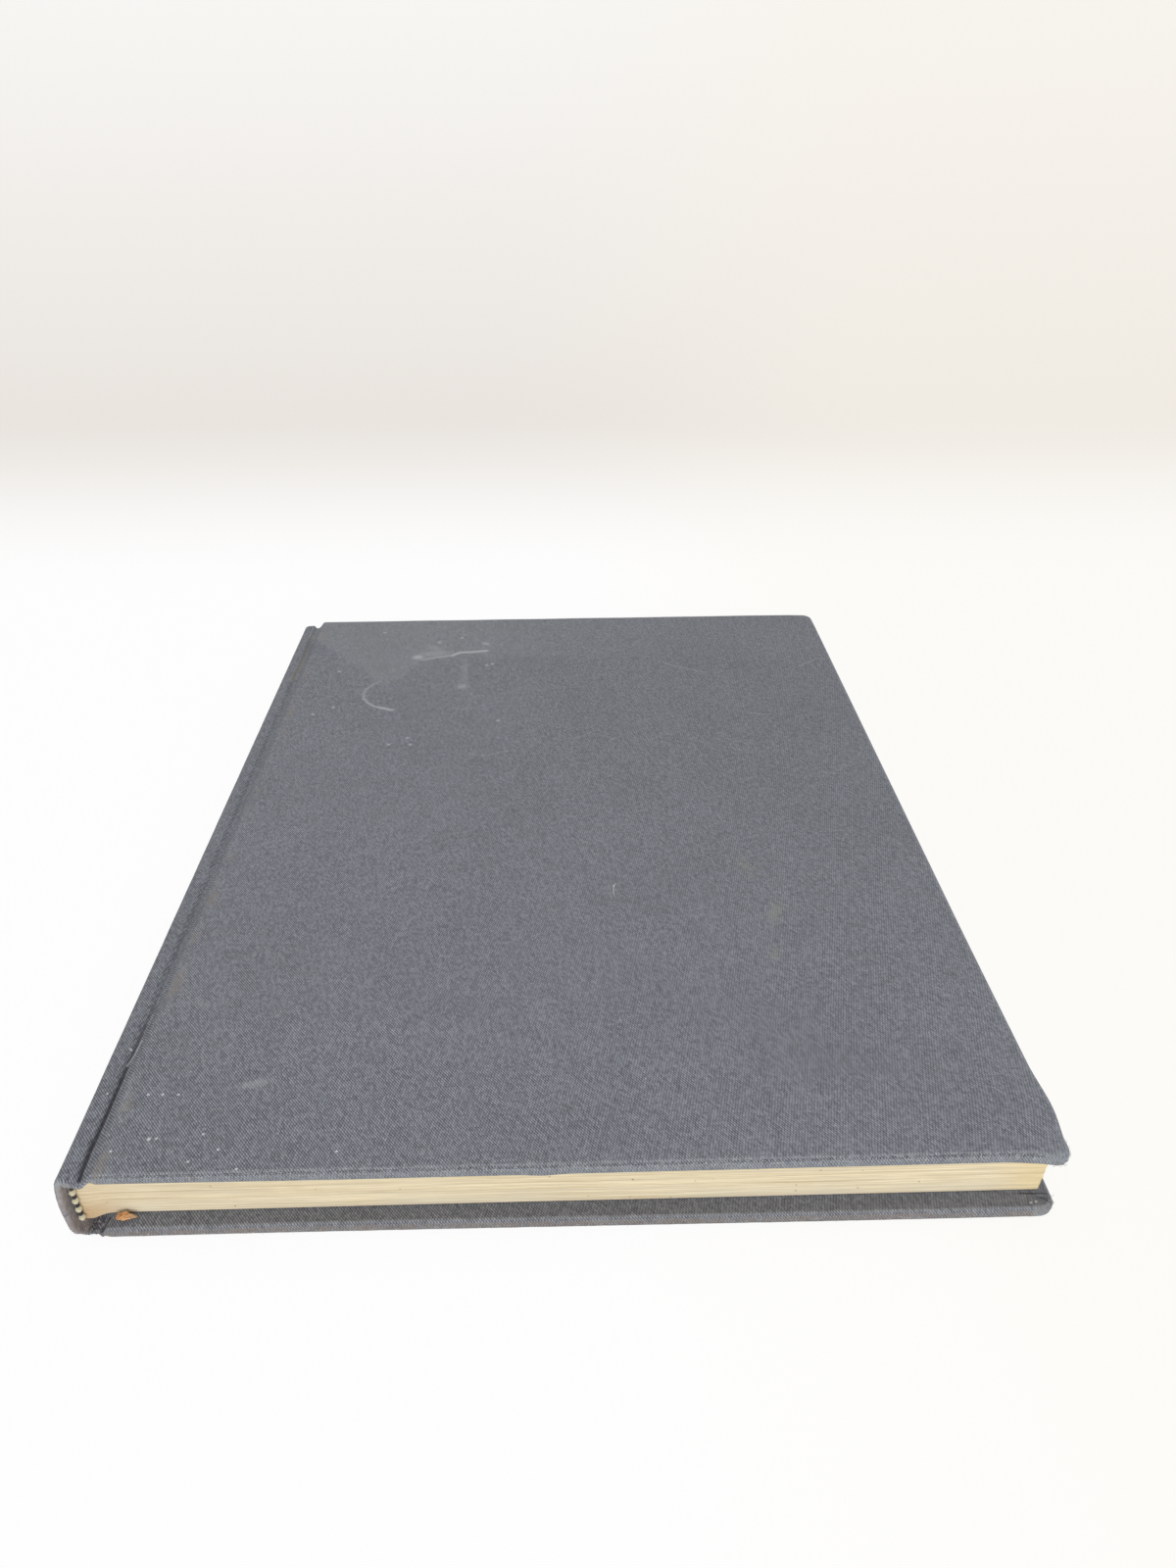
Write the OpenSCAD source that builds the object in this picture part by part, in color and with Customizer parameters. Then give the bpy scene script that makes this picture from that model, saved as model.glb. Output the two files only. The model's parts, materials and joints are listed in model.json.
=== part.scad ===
// Cloth-bound hardcover book, closed, lying on its back cover.
// X runs from the spine to the fore-edge, Y from tail to head, Z up from the table.
// The modules measure x from the spine's shoulder, and centred() moves the book to its middle.

/* [Text block] */
// Width of a leaf, from the folds to the fore-edge
page_w = 231; // [150:1:260]
// Height of a leaf, from tail to head
page_d = 304; // [200:1:330]
// Thickness of the sewn sections, without the endpapers
text_t = 15.1; // [12:0.1:40]
// Number of folded sections
section_count = 12; // [6:1:18]
// Width of the seam that shows between two sections
seam_t = 0.15; // [0.08:0.01:0.25]
// Depth of the seams and of the valleys between the folds
seam_depth = 0.4; // [0.2:0.05:0.8]
// How far the lowest leaf stands back from the highest at the fore-edge
fore_lean = 0.7; // [0:0.1:1.5]

/* [Boards] */
// Thickness of a board
board_t = 2.2; // [1.8:0.1:4]
// Overhang of the boards past the fore-edge
square_fore = 3; // [2:0.5:6]
// Overhang of the boards past the head and the tail
square_end = 4; // [3:0.5:8]
// Rounding of the worn corners, seen from above
corner_r = 4; // [2:0.5:8]
// Rounding of the covered edges
edge_r = 0.9; // [0.7:0.1:1.2]

/* [Cloth] */
// Thickness of the book cloth
cloth_t = 0.4; // [0.3:0.05:0.5]
// Width of the cloth turned in round the boards
turn_in = 15; // [10:1:22]
// Width of the open seam where two turn-ins meet at a corner
mitre_gap = 0.2; // [0.1:0.05:0.5]

/* [Joint] */
// Width of the spine's shoulder, from the back of the spine to the line that the cover turns on
shoulder_w = 5.4; // [5:0.1:8]
// Width of the groove, from that line to the board
groove_w = 2.6; // [2:0.1:6]
// Depth of the line that the cover turns on, below the outside of the cover
hinge_depth = 0.35; // [0.3:0.05:0.4]
// Room between the cloth of the cover and the cloth of the spine
joint_gap = 0.3; // [0.2:0.05:0.5]

/* [Spine] */
// How far the middle of the spine stands out past its shoulders
spine_bulge = 1.3; // [0.6:0.1:3]
// Rounding of the spine's edge under the front cover
upper_edge_r = 2.2; // [2:0.1:5]
// Rounding of the spine's edge over the back cover, where the book has sagged
lower_edge_r = 4; // [2:0.1:5]
// Thickness of the card strip inside the cloth
inlay_t = 0.8; // [0.4:0.1:1.2]
// Width of the bare cloth between that strip and the spine's edges
inlay_margin = 3; // [2.5:0.5:5]
// Hollow between the spine's turn-ins and the lining
hollow = 0.1; // [0.1:0.05:0.5]
// Thickness of the paper lining
lining_t = 0.3; // [0.2:0.05:0.5]
// How far the worn cap at the head stops short of the boards
head_cap_short = 2; // [0:0.5:3]

/* [Endpapers and mull] */
// Thickness of the endpapers
paper_t = 0.2; // [0.15:0.05:0.3]
// Room between a closed cover and the leaf that it lies on
leaf_air = 0.05; // [0.03:0.01:0.3]
// Thickness of the mull
mull_t = 0.3; // [0.15:0.05:0.3]
// Width of the mull on each board
mull_flap_w = 25; // [15:1:40]
// How far the mull stops short of the head and the tail of the leaves
mull_short = 14; // [13:1:30]
// Room between the shoulders of the text block and the spine's turn-ins
shoulder_air = 0.15; // [0.1:0.05:0.4]

/* [Endbands] */
// Distance from one bead to the next
bead_pitch = 3; // [2:0.1:5]
// Length of a bead along the band
bead_l = 1.7; // [1:0.1:1.9]
// Radius of a bead
bead_r = 0.85; // [0.6:0.05:1]
// Radius of the cord between the beads
cord_r = 0.65; // [0.4:0.05:0.8]
// Height of the tape that is glued on the folds
tape_h = 12; // [8:1:12]

/* [Glue residue] */
// Distance from the spine's shoulder to the middle of the lump
lump_x = 12.2; // [10:0.1:60]
// Width of the lump
lump_w = 6; // [3:0.5:12]
// Height of the lump
lump_h = 1.7; // [1:0.1:3]
// How far the lump stands out from the tail edge of the leaves
lump_out = 2.2; // [1:0.1:2.5]

/* [Hidden] */
$fn = 48;
eps = 0.01;

cover_t = board_t + 2 * cloth_t;
board_in = cloth_t + board_t;
cover_in = cover_t + paper_t;
leaf_z = cover_in + leaf_air;
text_z = leaf_z + paper_t;
book_t = text_t + 2 * text_z;
mid_z = book_t / 2;

fold_shift = inlay_t + hollow + lining_t + mull_t;
text_x0 = fold_shift + 2 * cloth_t - spine_bulge;
text_x1 = text_x0 + page_w;
cover_x1 = text_x1 + square_fore;
cover_d = page_d + 2 * square_end;
mid_x = (cover_x1 - spine_bulge) / 2;

// The cloth is pressed into the groove until it is level with the inside of the board
groove_depth = board_t;
groove_x = shoulder_w + groove_w;
cover_x0 = shoulder_w + joint_gap / 2;
spine_x1 = shoulder_w - joint_gap / 2;
groove_fillet = 0.6;
return_r = 0.9;

// An open cover lies on the spine's shoulder, with the joint's room between them
shoulder_drop = 2 * hinge_depth + joint_gap;

// The back of the spine is one wide arc that meets a smaller arc at each edge
back_half = mid_z - shoulder_drop;
back_r = (back_half ^ 2 + spine_bulge ^ 2) / (2 * spine_bulge);
back_cx = back_r - spine_bulge;

// The sections fan out into shoulders before the groove
fan_x0 = 2.4;
fan_x1 = spine_x1 - 2 * cloth_t - shoulder_air;
shoulder_z = shoulder_drop + 2 * cloth_t + shoulder_air + paper_t;
fan_spread = (text_z - shoulder_z) / (text_t / 2);
section_t = text_t / section_count;

// The area that a fillet of radius r leaves in a square corner at the origin
module spandrel(r) {
  difference() {
    translate([-eps, -eps]) square(r + eps);
    translate([r, r]) circle(r);
  }
}

module centred() {
  translate([-mid_x, 0, 0]) children();
}

// The front cover is the back cover turned over about the middle of the book
module turned_over() {
  translate([0, 0, book_t]) mirror([0, 0, 1]) children();
}

// Draws an x-z section and extrudes it from y0 to y1
module along_y(y0, y1) {
  translate([0, y1, 0]) rotate([90, 0, 0]) linear_extrude(y1 - y0) children();
}

module block(x0, x1, y0, y1, z0, z1) {
  translate([x0, y0, z0]) cube([x1 - x0, y1 - y0, z1 - z0]);
}

function arc(cx, cy, r, a0, a1, steps) =
  [for (i = [0:steps]) let (a = a0 + (a1 - a0) * i / steps) [cx + r * cos(a), cy + r * sin(a)]];

// Where the centre of a spine edge of radius r lies, and the angle at which it meets the back
function edge_cx(r) = back_cx - sqrt((back_r - r) ^ 2 - (back_half - r) ^ 2);
function edge_angle(r) = asin((back_half - r) / (back_r - r));

// Section of the spine, drawn in by inset, and open to the right as far as x1
module spine_section(inset, x1 = spine_x1) {
  up = edge_angle(upper_edge_r);
  low = edge_angle(lower_edge_r);
  upper_r = max(upper_edge_r - inset, eps);
  lower_r = max(lower_edge_r - inset, eps);
  polygon(concat(
    [[x1, book_t - shoulder_drop - inset]],
    arc(edge_cx(upper_edge_r), book_t - shoulder_drop - upper_edge_r, upper_r, 90, 180 - up, 8),
    arc(back_cx, mid_z, back_r - inset, 180 - up + 1, 180 + low - 1, 16),
    arc(edge_cx(lower_edge_r), shoulder_drop + lower_edge_r, lower_r, 180 + low, 270, 10),
    [[x1, shoulder_drop + inset]]));
}

// The same section with its two corners rounded where the cloth turns down into the grooves
module spine_shell(inset) {
  r = return_r - inset;
  difference() {
    spine_section(inset, spine_x1 - inset);
    if (r > eps) {
      translate([spine_x1 - inset, shoulder_drop + inset]) mirror([1, 0]) spandrel(r);
      translate([spine_x1 - inset, book_t - shoulder_drop - inset]) rotate(180) spandrel(r);
    }
  }
}

// A layer on the spine of thickness t, moved in by shift and kept half_h from the middle
module spine_layer(shift, t, half_h) {
  intersection() {
    difference() {
      translate([shift, 0]) spine_section(2 * cloth_t);
      translate([shift + t, 0]) spine_section(2 * cloth_t, spine_x1 + 1);
    }
    translate([-spine_bulge, mid_z - half_h]) square([shoulder_w, 2 * half_h]);
  }
}

// Height of the seam k at x: level over the leaf, and fanned out at the shoulders
function fan(x) = x <= fan_x0 ? 1 : x >= fan_x1 ? 0 : (1 + cos(180 * (x - fan_x0) / (fan_x1 - fan_x0))) / 2;
function seam_z(k, x) = mid_z + (k * section_t - text_t / 2) * (1 + fan_spread * fan(x));
fan_steps = 8;
fan_xs = concat([text_x0 - 1], [for (i = [0:fan_steps]) fan_x0 + (fan_x1 - fan_x0) * i / fan_steps],
                [text_x1 + 1]);
function seam_line(k, dz) = [for (x = fan_xs) [x, seam_z(k, x) + dz]];
function reversed(list) = [for (i = [len(list) - 1:-1:0]) list[i]];

// Everything between two seams
module between_seams(k0, dz0, k1, dz1) {
  polygon(concat(seam_line(k0, dz0), reversed(seam_line(k1, dz1))));
}

// Left of the fore-edge, which leans in towards the back cover, drawn in by inset
module behind_fore_edge(inset) {
  polygon([[-spine_bulge, 0], [text_x1 - fore_lean - inset, 0], [text_x1 - fore_lean - inset, text_z],
           [text_x1 - inset, text_z + text_t], [text_x1 - inset, book_t], [-spine_bulge, book_t]]);
}

// What lies between two seams, from the folds to the fore-edge, with side_air to the spine's turn-ins
module leaves(k0, dz0, k1, dz1, side_air) {
  intersection() {
    between_seams(k0, dz0, k1, dz1);
    translate([fold_shift - side_air, 0]) spine_section(2 * cloth_t + side_air, text_x1 + 1);
    behind_fore_edge(0);
  }
}

module seams() {
  for (k = [1:section_count - 1]) between_seams(k, -seam_t / 2, k, seam_t / 2);
}

// Folded and sewn sections, with a valley between the folds and a seam at the three cut edges
module text_block() {
  half = page_d / 2;
  color("wheat") centred() difference() {
    along_y(-half, half) leaves(0, 0, section_count, 0, shoulder_air + paper_t);
    for (y = [-half - eps, half - seam_depth]) along_y(y, y + seam_depth + eps) seams();
    along_y(-half - eps, half + eps) difference() {
      seams();
      behind_fore_edge(seam_depth);
    }
    for (k = [1:section_count - 1]) {
      z = seam_z(k, fan_x0);
      fold_x = back_cx + fold_shift - sqrt((back_r - 2 * cloth_t) ^ 2 - (z - mid_z) ^ 2);
      along_y(-half - eps, half + eps) translate([fold_x, z]) circle(seam_depth, $fn = 4);
    }
  }
}

// The free leaves follow the outside of the text block and its shoulders
module back_flyleaf() {
  color("linen") centred() along_y(-page_d / 2, page_d / 2) leaves(0, -paper_t, 0, 0, shoulder_air);
}

module front_flyleaf() {
  color("linen") centred() along_y(-page_d / 2, page_d / 2)
    leaves(section_count, 0, section_count, paper_t, shoulder_air);
}

// What is glued to the folds covers the sections and leaves their shoulders free
lining_half = text_t / 2;

module spine_mull() {
  half = page_d / 2 - mull_short;
  color("ivory") centred() along_y(-half, half)
    spine_layer(inlay_t + hollow + lining_t, mull_t, lining_half);
}

module spine_lining() {
  color("tan") centred() along_y(-page_d / 2, page_d / 2)
    spine_layer(inlay_t + hollow, lining_t, lining_half);
}

// A cord wound with thread in beads, on a tape that is glued to the folds
module endband() {
  band_r = back_r - 2 * cloth_t - bead_r;
  band_cx = back_cx + inlay_t + hollow + lining_t;
  half_angle = asin(lining_half / band_r);
  bead_angle = bead_l / band_r * 180 / PI;
  pitch_angle = bead_pitch / band_r * 180 / PI;
  first_bead = half_angle - bead_angle / 2;
  bead_count = floor(2 * first_bead / pitch_angle) + 1;
  band_y = -page_d / 2 - bead_r - eps;
  color("cornsilk") {
    along_y(band_y, -page_d / 2 + tape_h) spine_layer(inlay_t + hollow + lining_t, mull_t, lining_half);
    translate([band_cx, band_y, mid_z]) rotate([90, 0, 0]) {
      rotate([0, 0, 180 - half_angle]) rotate_extrude(angle = 2 * half_angle)
        translate([band_r, 0]) circle(cord_r);
      for (i = [0:bead_count - 1])
        rotate([0, 0, 180 + first_bead - i * pitch_angle - bead_angle / 2]) rotate_extrude(angle = bead_angle)
          translate([band_r, 0]) circle(bead_r);
    }
  }
}

module tail_band() {
  centred() endband();
}

module head_band() {
  centred() mirror([0, 1, 0]) endband();
}

// Dried glue on the tail edge of the lowest leaves, clear of the back cover
module glue_residue() {
  lump_r = lump_h / 2;
  lump_z = cover_t + joint_gap + lump_r;
  half_w = lump_w / 2 - lump_r;
  color("sienna") centred() intersection() {
    translate([lump_x, -page_d / 2, lump_z]) hull() {
      translate([-half_w, 0, 0]) sphere(lump_r, $fn = 16);
      translate([half_w, 0, 0]) sphere(lump_r, $fn = 16);
      translate([-half_w / 3, lump_r * 0.8 - lump_out, -lump_r * 0.2]) sphere(lump_r * 0.8, $fn = 16);
      translate([half_w / 2, lump_r * 0.7 - lump_out * 0.8, 0]) sphere(lump_r * 0.7, $fn = 16);
    }
    block(lump_x - lump_w, lump_x + lump_w, -cover_d / 2, -page_d / 2, 0, book_t);
  }
}

spine_y0 = -cover_d / 2;
spine_y1 = cover_d / 2 - head_cap_short;

module inlay_solid() {
  along_y(spine_y0 + cloth_t, spine_y1 - cloth_t) intersection() {
    difference() {
      spine_section(cloth_t);
      translate([inlay_t, 0]) spine_section(cloth_t, spine_x1 + 1);
    }
    translate([-spine_bulge, mid_z - back_half + inlay_margin])
      square([shoulder_w, 2 * (back_half - inlay_margin)]);
  }
}

module spine_inlay() {
  color("peru") centred() inlay_solid();
}

// Cloth over the spine: it turns down into both grooves, and in round the card at head and tail
module spine_cloth() {
  color("dimgray") centred() {
    along_y(spine_y0, spine_y1) difference() {
      spine_shell(0);
      spine_shell(cloth_t);
      groove_mouth(groove_depth + cloth_t);
    }
    difference() {
      for (y = [spine_y0, spine_y1 - turn_in]) along_y(y, y + turn_in) difference() {
        spine_shell(cloth_t);
        translate([inlay_t, 0]) intersection() {
          spine_shell(2 * cloth_t);
          translate([-spine_bulge, 0]) square([spine_x1 - 2 * cloth_t - inlay_t + spine_bulge, book_t]);
        }
        groove_mouth(cover_t);
      }
      inlay_solid();
    }
  }
}

// The spine's section is open towards the text block from depth z down
module groove_mouth(z) {
  translate([fan_x1, z]) square([shoulder_w, book_t - 2 * z]);
}

// A board-shaped slab, drawn in by inset from the outside of its cloth
module slab(inset) {
  x0 = groove_x + inset;
  x1 = cover_x1 - inset;
  half = cover_d / 2 - inset;
  top = cover_t - inset;
  r = edge_r - inset;
  plan_r = corner_r - inset;
  intersection() {
    along_y(-half, half) difference() {
      translate([x0, inset]) square([x1 - x0, top - inset]);
      translate([x0, inset]) spandrel(r);
      translate([x1, inset]) mirror([1, 0]) spandrel(r);
      translate([x1, top]) rotate(180) spandrel(r);
    }
    rotate([90, 0, 90]) linear_extrude(cover_x1) difference() {
      translate([-half, inset]) square([2 * half, top - inset]);
      for (side = [0, 1]) mirror([side, 0]) translate([half, 0]) {
        translate([0, inset]) mirror([1, 0]) spandrel(r);
        translate([0, top]) rotate(180) spandrel(r);
      }
    }
    linear_extrude(cover_t) difference() {
      translate([x0, -half]) square([x1 - x0, 2 * half]);
      translate([x1, -half]) mirror([1, 0]) spandrel(plan_r);
      translate([x1, half]) rotate(180) spandrel(plan_r);
    }
  }
}

// The cloth runs on from the board into the groove
module groove_lip() {
  half = cover_d / 2;
  intersection() {
    along_y(-half, half) {
      translate([cover_x0, groove_depth]) square([groove_x + cloth_t - cover_x0, cover_t - groove_depth]);
      translate([groove_x, groove_depth]) rotate(180) spandrel(groove_fillet);
    }
    rotate([90, 0, 90]) linear_extrude(cover_x1) difference() {
      translate([-half, 0]) square([2 * half, cover_t]);
      for (side = [0, 1]) mirror([side, 0]) translate([half, cover_t]) rotate(180) spandrel(edge_r);
    }
  }
}

// Inside the turn-ins, where the board is bare
window_x1 = cover_x1 - turn_in;
window_y = cover_d / 2 - turn_in;

module board() {
  slab(cloth_t);
}

module cover_cloth() {
  seam_l = (turn_in - corner_r / 2) * sqrt(2);
  difference() {
    union() {
      slab(0);
      groove_lip();
    }
    board();
    block(0, window_x1, -window_y, window_y, board_in, cover_t + 1);
    for (side = [0, 1]) mirror([0, side, 0]) translate([window_x1, window_y, board_in]) rotate([0, 0, 45])
      translate([-mitre_gap, -mitre_gap / 2, 0]) cube([seam_l + mitre_gap, mitre_gap, cover_t]);
  }
}

mull_y = page_d / 2 - mull_short;

// The block that the mull fills on the inside of the board, grown by grow
module mull_flap(grow = 0) {
  block(cover_x0 - grow, cover_x0 + mull_flap_w + grow, -mull_y - grow, mull_y + grow,
        board_in, board_in + mull_t + grow);
}

// The glued leaf lies on the board, steps over the mull, and laps the turn-ins
module pastedown() {
  far = cover_x1 + 1;
  difference() {
    block(cover_x0, text_x1, -page_d / 2, page_d / 2, board_in, cover_in);
    difference() {
      block(0, far, -cover_d, cover_d, 0, cover_t);
      block(-1, window_x1, -window_y, window_y, -1, cover_t + 1);
    }
    mull_flap();
    difference() {
      block(0, window_x1 - paper_t, -window_y + paper_t, window_y - paper_t,
            board_in + paper_t, cover_t + 1);
      mull_flap(paper_t);
    }
  }
}

module back_board() {
  color("burlywood") centred() board();
}

module front_board() {
  color("burlywood") centred() turned_over() board();
}

module back_cover_cloth() {
  color("slategray") centred() cover_cloth();
}

module front_cover_cloth() {
  color("slategray") centred() turned_over() cover_cloth();
}

module back_mull_flap() {
  color("ivory") centred() mull_flap();
}

module front_mull_flap() {
  color("ivory") centred() turned_over() mull_flap();
}

module back_pastedown() {
  color("antiquewhite") centred() pastedown();
}

module front_pastedown() {
  color("antiquewhite") centred() turned_over() pastedown();
}

text_block();
front_flyleaf();
back_flyleaf();
spine_mull();
spine_lining();
head_band();
tail_band();
glue_residue();
spine_inlay();
spine_cloth();
front_board();
front_cover_cloth();
front_mull_flap();
front_pastedown();
back_board();
back_cover_cloth();
back_mull_flap();
back_pastedown();
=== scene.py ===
"""A worn, cloth-bound hardcover book that lies closed on its back cover.

Lengths are in millimetres. X is measured from the shoulder of the spine, Y from the middle of the book
towards its head, and Z is up from the table. in_frame() turns such points into the frame's metres.
"""

import functools
import json
import math

import bmesh
import bpy
import numpy as np
from mathutils import Matrix, Vector

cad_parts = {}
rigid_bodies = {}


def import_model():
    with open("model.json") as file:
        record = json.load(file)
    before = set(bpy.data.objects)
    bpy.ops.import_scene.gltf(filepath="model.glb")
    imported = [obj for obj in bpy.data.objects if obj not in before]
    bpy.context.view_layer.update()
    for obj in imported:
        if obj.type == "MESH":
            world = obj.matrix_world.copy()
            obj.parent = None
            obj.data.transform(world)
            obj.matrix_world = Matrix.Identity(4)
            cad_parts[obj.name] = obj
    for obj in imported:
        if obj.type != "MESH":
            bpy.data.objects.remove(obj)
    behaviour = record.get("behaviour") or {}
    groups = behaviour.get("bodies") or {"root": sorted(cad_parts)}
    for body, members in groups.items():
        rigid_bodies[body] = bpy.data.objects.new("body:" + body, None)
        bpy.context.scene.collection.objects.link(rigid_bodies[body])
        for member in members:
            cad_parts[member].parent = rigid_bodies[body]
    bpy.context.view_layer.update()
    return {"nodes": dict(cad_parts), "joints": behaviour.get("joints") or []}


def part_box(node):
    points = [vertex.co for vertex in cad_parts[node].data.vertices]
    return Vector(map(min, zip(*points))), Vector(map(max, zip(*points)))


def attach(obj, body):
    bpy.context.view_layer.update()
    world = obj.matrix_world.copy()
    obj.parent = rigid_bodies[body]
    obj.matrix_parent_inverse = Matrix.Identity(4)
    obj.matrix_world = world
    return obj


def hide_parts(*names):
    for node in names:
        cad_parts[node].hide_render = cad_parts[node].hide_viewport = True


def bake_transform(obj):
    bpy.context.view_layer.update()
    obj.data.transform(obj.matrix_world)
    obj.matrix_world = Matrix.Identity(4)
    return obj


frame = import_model()

MM = 0.001
TAU = 2 * math.pi

# Sizes that the part and its looks share
SHOULDER_W = 5.4
EDGE_R = 0.9
CORNER_R = 4.0
CLOTH_T = 0.4
COVER_T = 3.0
TURN_IN = 15.0
GROOVE_DEPTH = 2.2
SHOULDER_DROP = 1.0
UPPER_EDGE_R = 2.2
LOWER_EDGE_R = 4.0
SPINE_BULGE = 1.3
SECTIONS = 12
PAPER_T = 0.2
MULL_T = 0.3
SEAM_X = 3.4
BEND_START = 4.9
BEND_END = 6.2
GROOVE_MID = 5.7

hinge = next(joint for joint in frame["joints"] if joint["child"] == "front_cover")
SHOULDER_X = hinge["pos_m"][0] / MM - SHOULDER_W


def node_box(node):
    """Lowest and highest corner of a CAD node, in millimetres from the shoulder."""
    lo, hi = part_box(node)
    shift = np.array([SHOULDER_X, 0, 0])
    return np.array(lo) / MM - shift, np.array(hi) / MM - shift


cover_hi = node_box("front_cover_cloth")[1]
block_lo, block_hi = node_box("text_block")
band_lo, band_hi = node_box("head_band")
lump_lo, lump_hi = node_box("glue_residue")
flap_hi = node_box("front_mull_flap")[1]
BOARD_X0 = node_box("front_board")[0][0]
SPINE_HEAD = node_box("spine_cloth")[1][1]
SPINE_MULL_HALF = node_box("spine_mull")[1][1]
TEXT_Z = node_box("back_flyleaf")[1][2]

BOOK_T = cover_hi[2]
COVER_X1 = cover_hi[0]
HALF_D = cover_hi[1]
BLOCK_X0 = block_lo[0]
BLOCK_Z0 = block_lo[2]
PAGE_X1 = block_hi[0]
HALF_PAGE = block_hi[1]
MID_Z = BOOK_T / 2
TEXT_T = BOOK_T - 2 * TEXT_Z
MULL_X1 = flap_hi[0]
MULL_HALF = flap_hi[1]


def in_frame(points):
    """Millimetres from the shoulder as metres in the frame."""
    return (np.asarray(points, float) + [SHOULDER_X, 0, 0]) * MM


def smooth(t):
    """0 up to 0 and 1 from 1 on, with a smooth rise between them."""
    t = np.clip(t, 0, 1)
    return t * t * (3 - 2 * t)


def hump(t):
    """1 at 0, and smoothly down to 0 at 1 and beyond."""
    return 1 - smooth(np.abs(t))


def rise(t, start, length):
    """0 up to start, and smoothly up to 1 over that length."""
    return smooth((t - start) / length)


def near(distance, reach):
    """1 at an edge, and smoothly down to 0 at that distance from it."""
    return smooth(1 - distance / reach)


def run_along(points):
    """Length of a path up to each of its points."""
    steps = np.hypot(*np.diff(points[:, :2], axis=0).T)
    return np.concatenate([[0], np.cumsum(steps)])


def waves(s, length, seed, count=5):
    """A gentle random line along s, about as high as 1, with waves of about that length."""
    random = np.random.default_rng(seed)
    total = np.zeros_like(np.asarray(s, float))
    for _ in range(count):
        stretch = length * random.uniform(0.5, 1.8)
        total = total + np.sin(TAU * s / stretch + random.uniform(0, TAU)) * random.uniform(0.4, 1)
    return total / math.sqrt(count)


# Meshes


def add_object(name, data):
    made = bpy.data.objects.new(name, data)
    bpy.context.scene.collection.objects.link(made)
    return made


class Patchwork:
    """Grids of points that are welded into one mesh. Each point also carries its place on the flat
    cloth or paper, and how worn it is there."""

    def __init__(self):
        self.points = []
        self.flat = []
        self.wear = []
        self.faces = []
        self.count = 0

    def add(self, points, flat=None, wear=None, flip=False):
        rows, columns = points.shape[:2]
        flat = points if flat is None else flat
        wear = np.zeros((rows, columns)) if wear is None else wear
        index = np.arange(rows * columns).reshape(rows, columns) + self.count
        quads = np.stack([index[:-1, :-1], index[:-1, 1:], index[1:, 1:], index[1:, :-1]], -1).reshape(-1, 4)
        self.faces.extend((quads[:, ::-1] if flip else quads).tolist())
        self.points.append(points.reshape(-1, 3))
        self.flat.append(flat.reshape(-1, 3))
        self.wear.append(wear.reshape(-1))
        self.count += rows * columns

    def mesh(self, name, closed=False, weld=0.002):
        mesh = bpy.data.meshes.new(name)
        mesh.from_pydata(in_frame(np.concatenate(self.points)).tolist(), [], self.faces)
        flat = mesh.attributes.new("flat", "FLOAT_VECTOR", "POINT")
        flat.data.foreach_set("vector", np.concatenate(self.flat).astype(np.float32).ravel())
        wear = mesh.attributes.new("wear", "FLOAT", "POINT")
        wear.data.foreach_set("value", np.concatenate(self.wear).astype(np.float32))
        body = bmesh.new()
        body.from_mesh(mesh)
        bmesh.ops.remove_doubles(body, verts=body.verts, dist=weld * MM)
        bmesh.ops.dissolve_degenerate(body, edges=body.edges, dist=weld * MM / 4)
        if closed:
            bmesh.ops.recalc_face_normals(body, faces=body.faces)
        body.to_mesh(mesh)
        body.free()
        mesh.polygons.foreach_set("use_smooth", [True] * len(mesh.polygons))
        return mesh

    def make(self, name, material, thickness=0.0, closed=False):
        mesh = self.mesh(name, closed)
        mesh.materials.append(material)
        piece = add_object(name, mesh)
        if thickness:
            solid = piece.modifiers.new("thickness", "SOLIDIFY")
            solid.thickness = thickness * MM
            solid.offset = -1
            settle(piece)
        return piece


def settle(piece):
    """Turns what the modifiers make into the piece's own mesh."""
    bpy.context.view_layer.update()
    evaluated = piece.evaluated_get(bpy.context.evaluated_depsgraph_get())
    mesh = bpy.data.meshes.new_from_object(evaluated)
    old = piece.data
    piece.modifiers.clear()
    piece.data = mesh
    mesh.name = piece.name
    bpy.data.meshes.remove(old)


# Node trees


class Value:
    """A number in a node tree. Sums are written as in Python and become Math nodes."""

    def __init__(self, tree, socket):
        self.tree = tree
        self.socket = socket

    def maths(self, operation, *terms):
        made = self.tree.node("ShaderNodeMath", {"operation": operation}, dict(enumerate(terms)))
        return Value(self.tree, made.outputs[0])

    def __add__(self, other):
        return self.maths("ADD", self, other)

    def __radd__(self, other):
        return self.maths("ADD", other, self)

    def __sub__(self, other):
        return self.maths("SUBTRACT", self, other)

    def __rsub__(self, other):
        return self.maths("SUBTRACT", other, self)

    def __mul__(self, other):
        return self.maths("MULTIPLY", self, other)

    def __rmul__(self, other):
        return self.maths("MULTIPLY", other, self)

    def __truediv__(self, other):
        return self.maths("DIVIDE", self, other)

    def __abs__(self):
        return self.maths("ABSOLUTE", self)

    def power(self, exponent):
        return self.maths("POWER", self, exponent)

    def larger(self, other):
        return self.maths("MAXIMUM", self, other)

    def smaller(self, other):
        return self.maths("MINIMUM", self, other)

    def sine(self):
        return self.maths("SINE", self)

    def above(self, other):
        return self.maths("GREATER_THAN", self, other)

    def rest(self, divisor):
        return self.maths("FLOORED_MODULO", self, divisor)

    def step(self, start, end):
        """0 at start, 1 at end, and smooth between them."""
        made = self.tree.node(
            "ShaderNodeMapRange",
            {"interpolation_type": "SMOOTHSTEP"},
            {0: self, 1: start, 2: end, 3: 0, 4: 1},
        )
        return Value(self.tree, made.outputs[0])


def largest(values):
    """The greatest of these numbers, at each point."""
    return functools.reduce(Value.larger, values)


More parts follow.
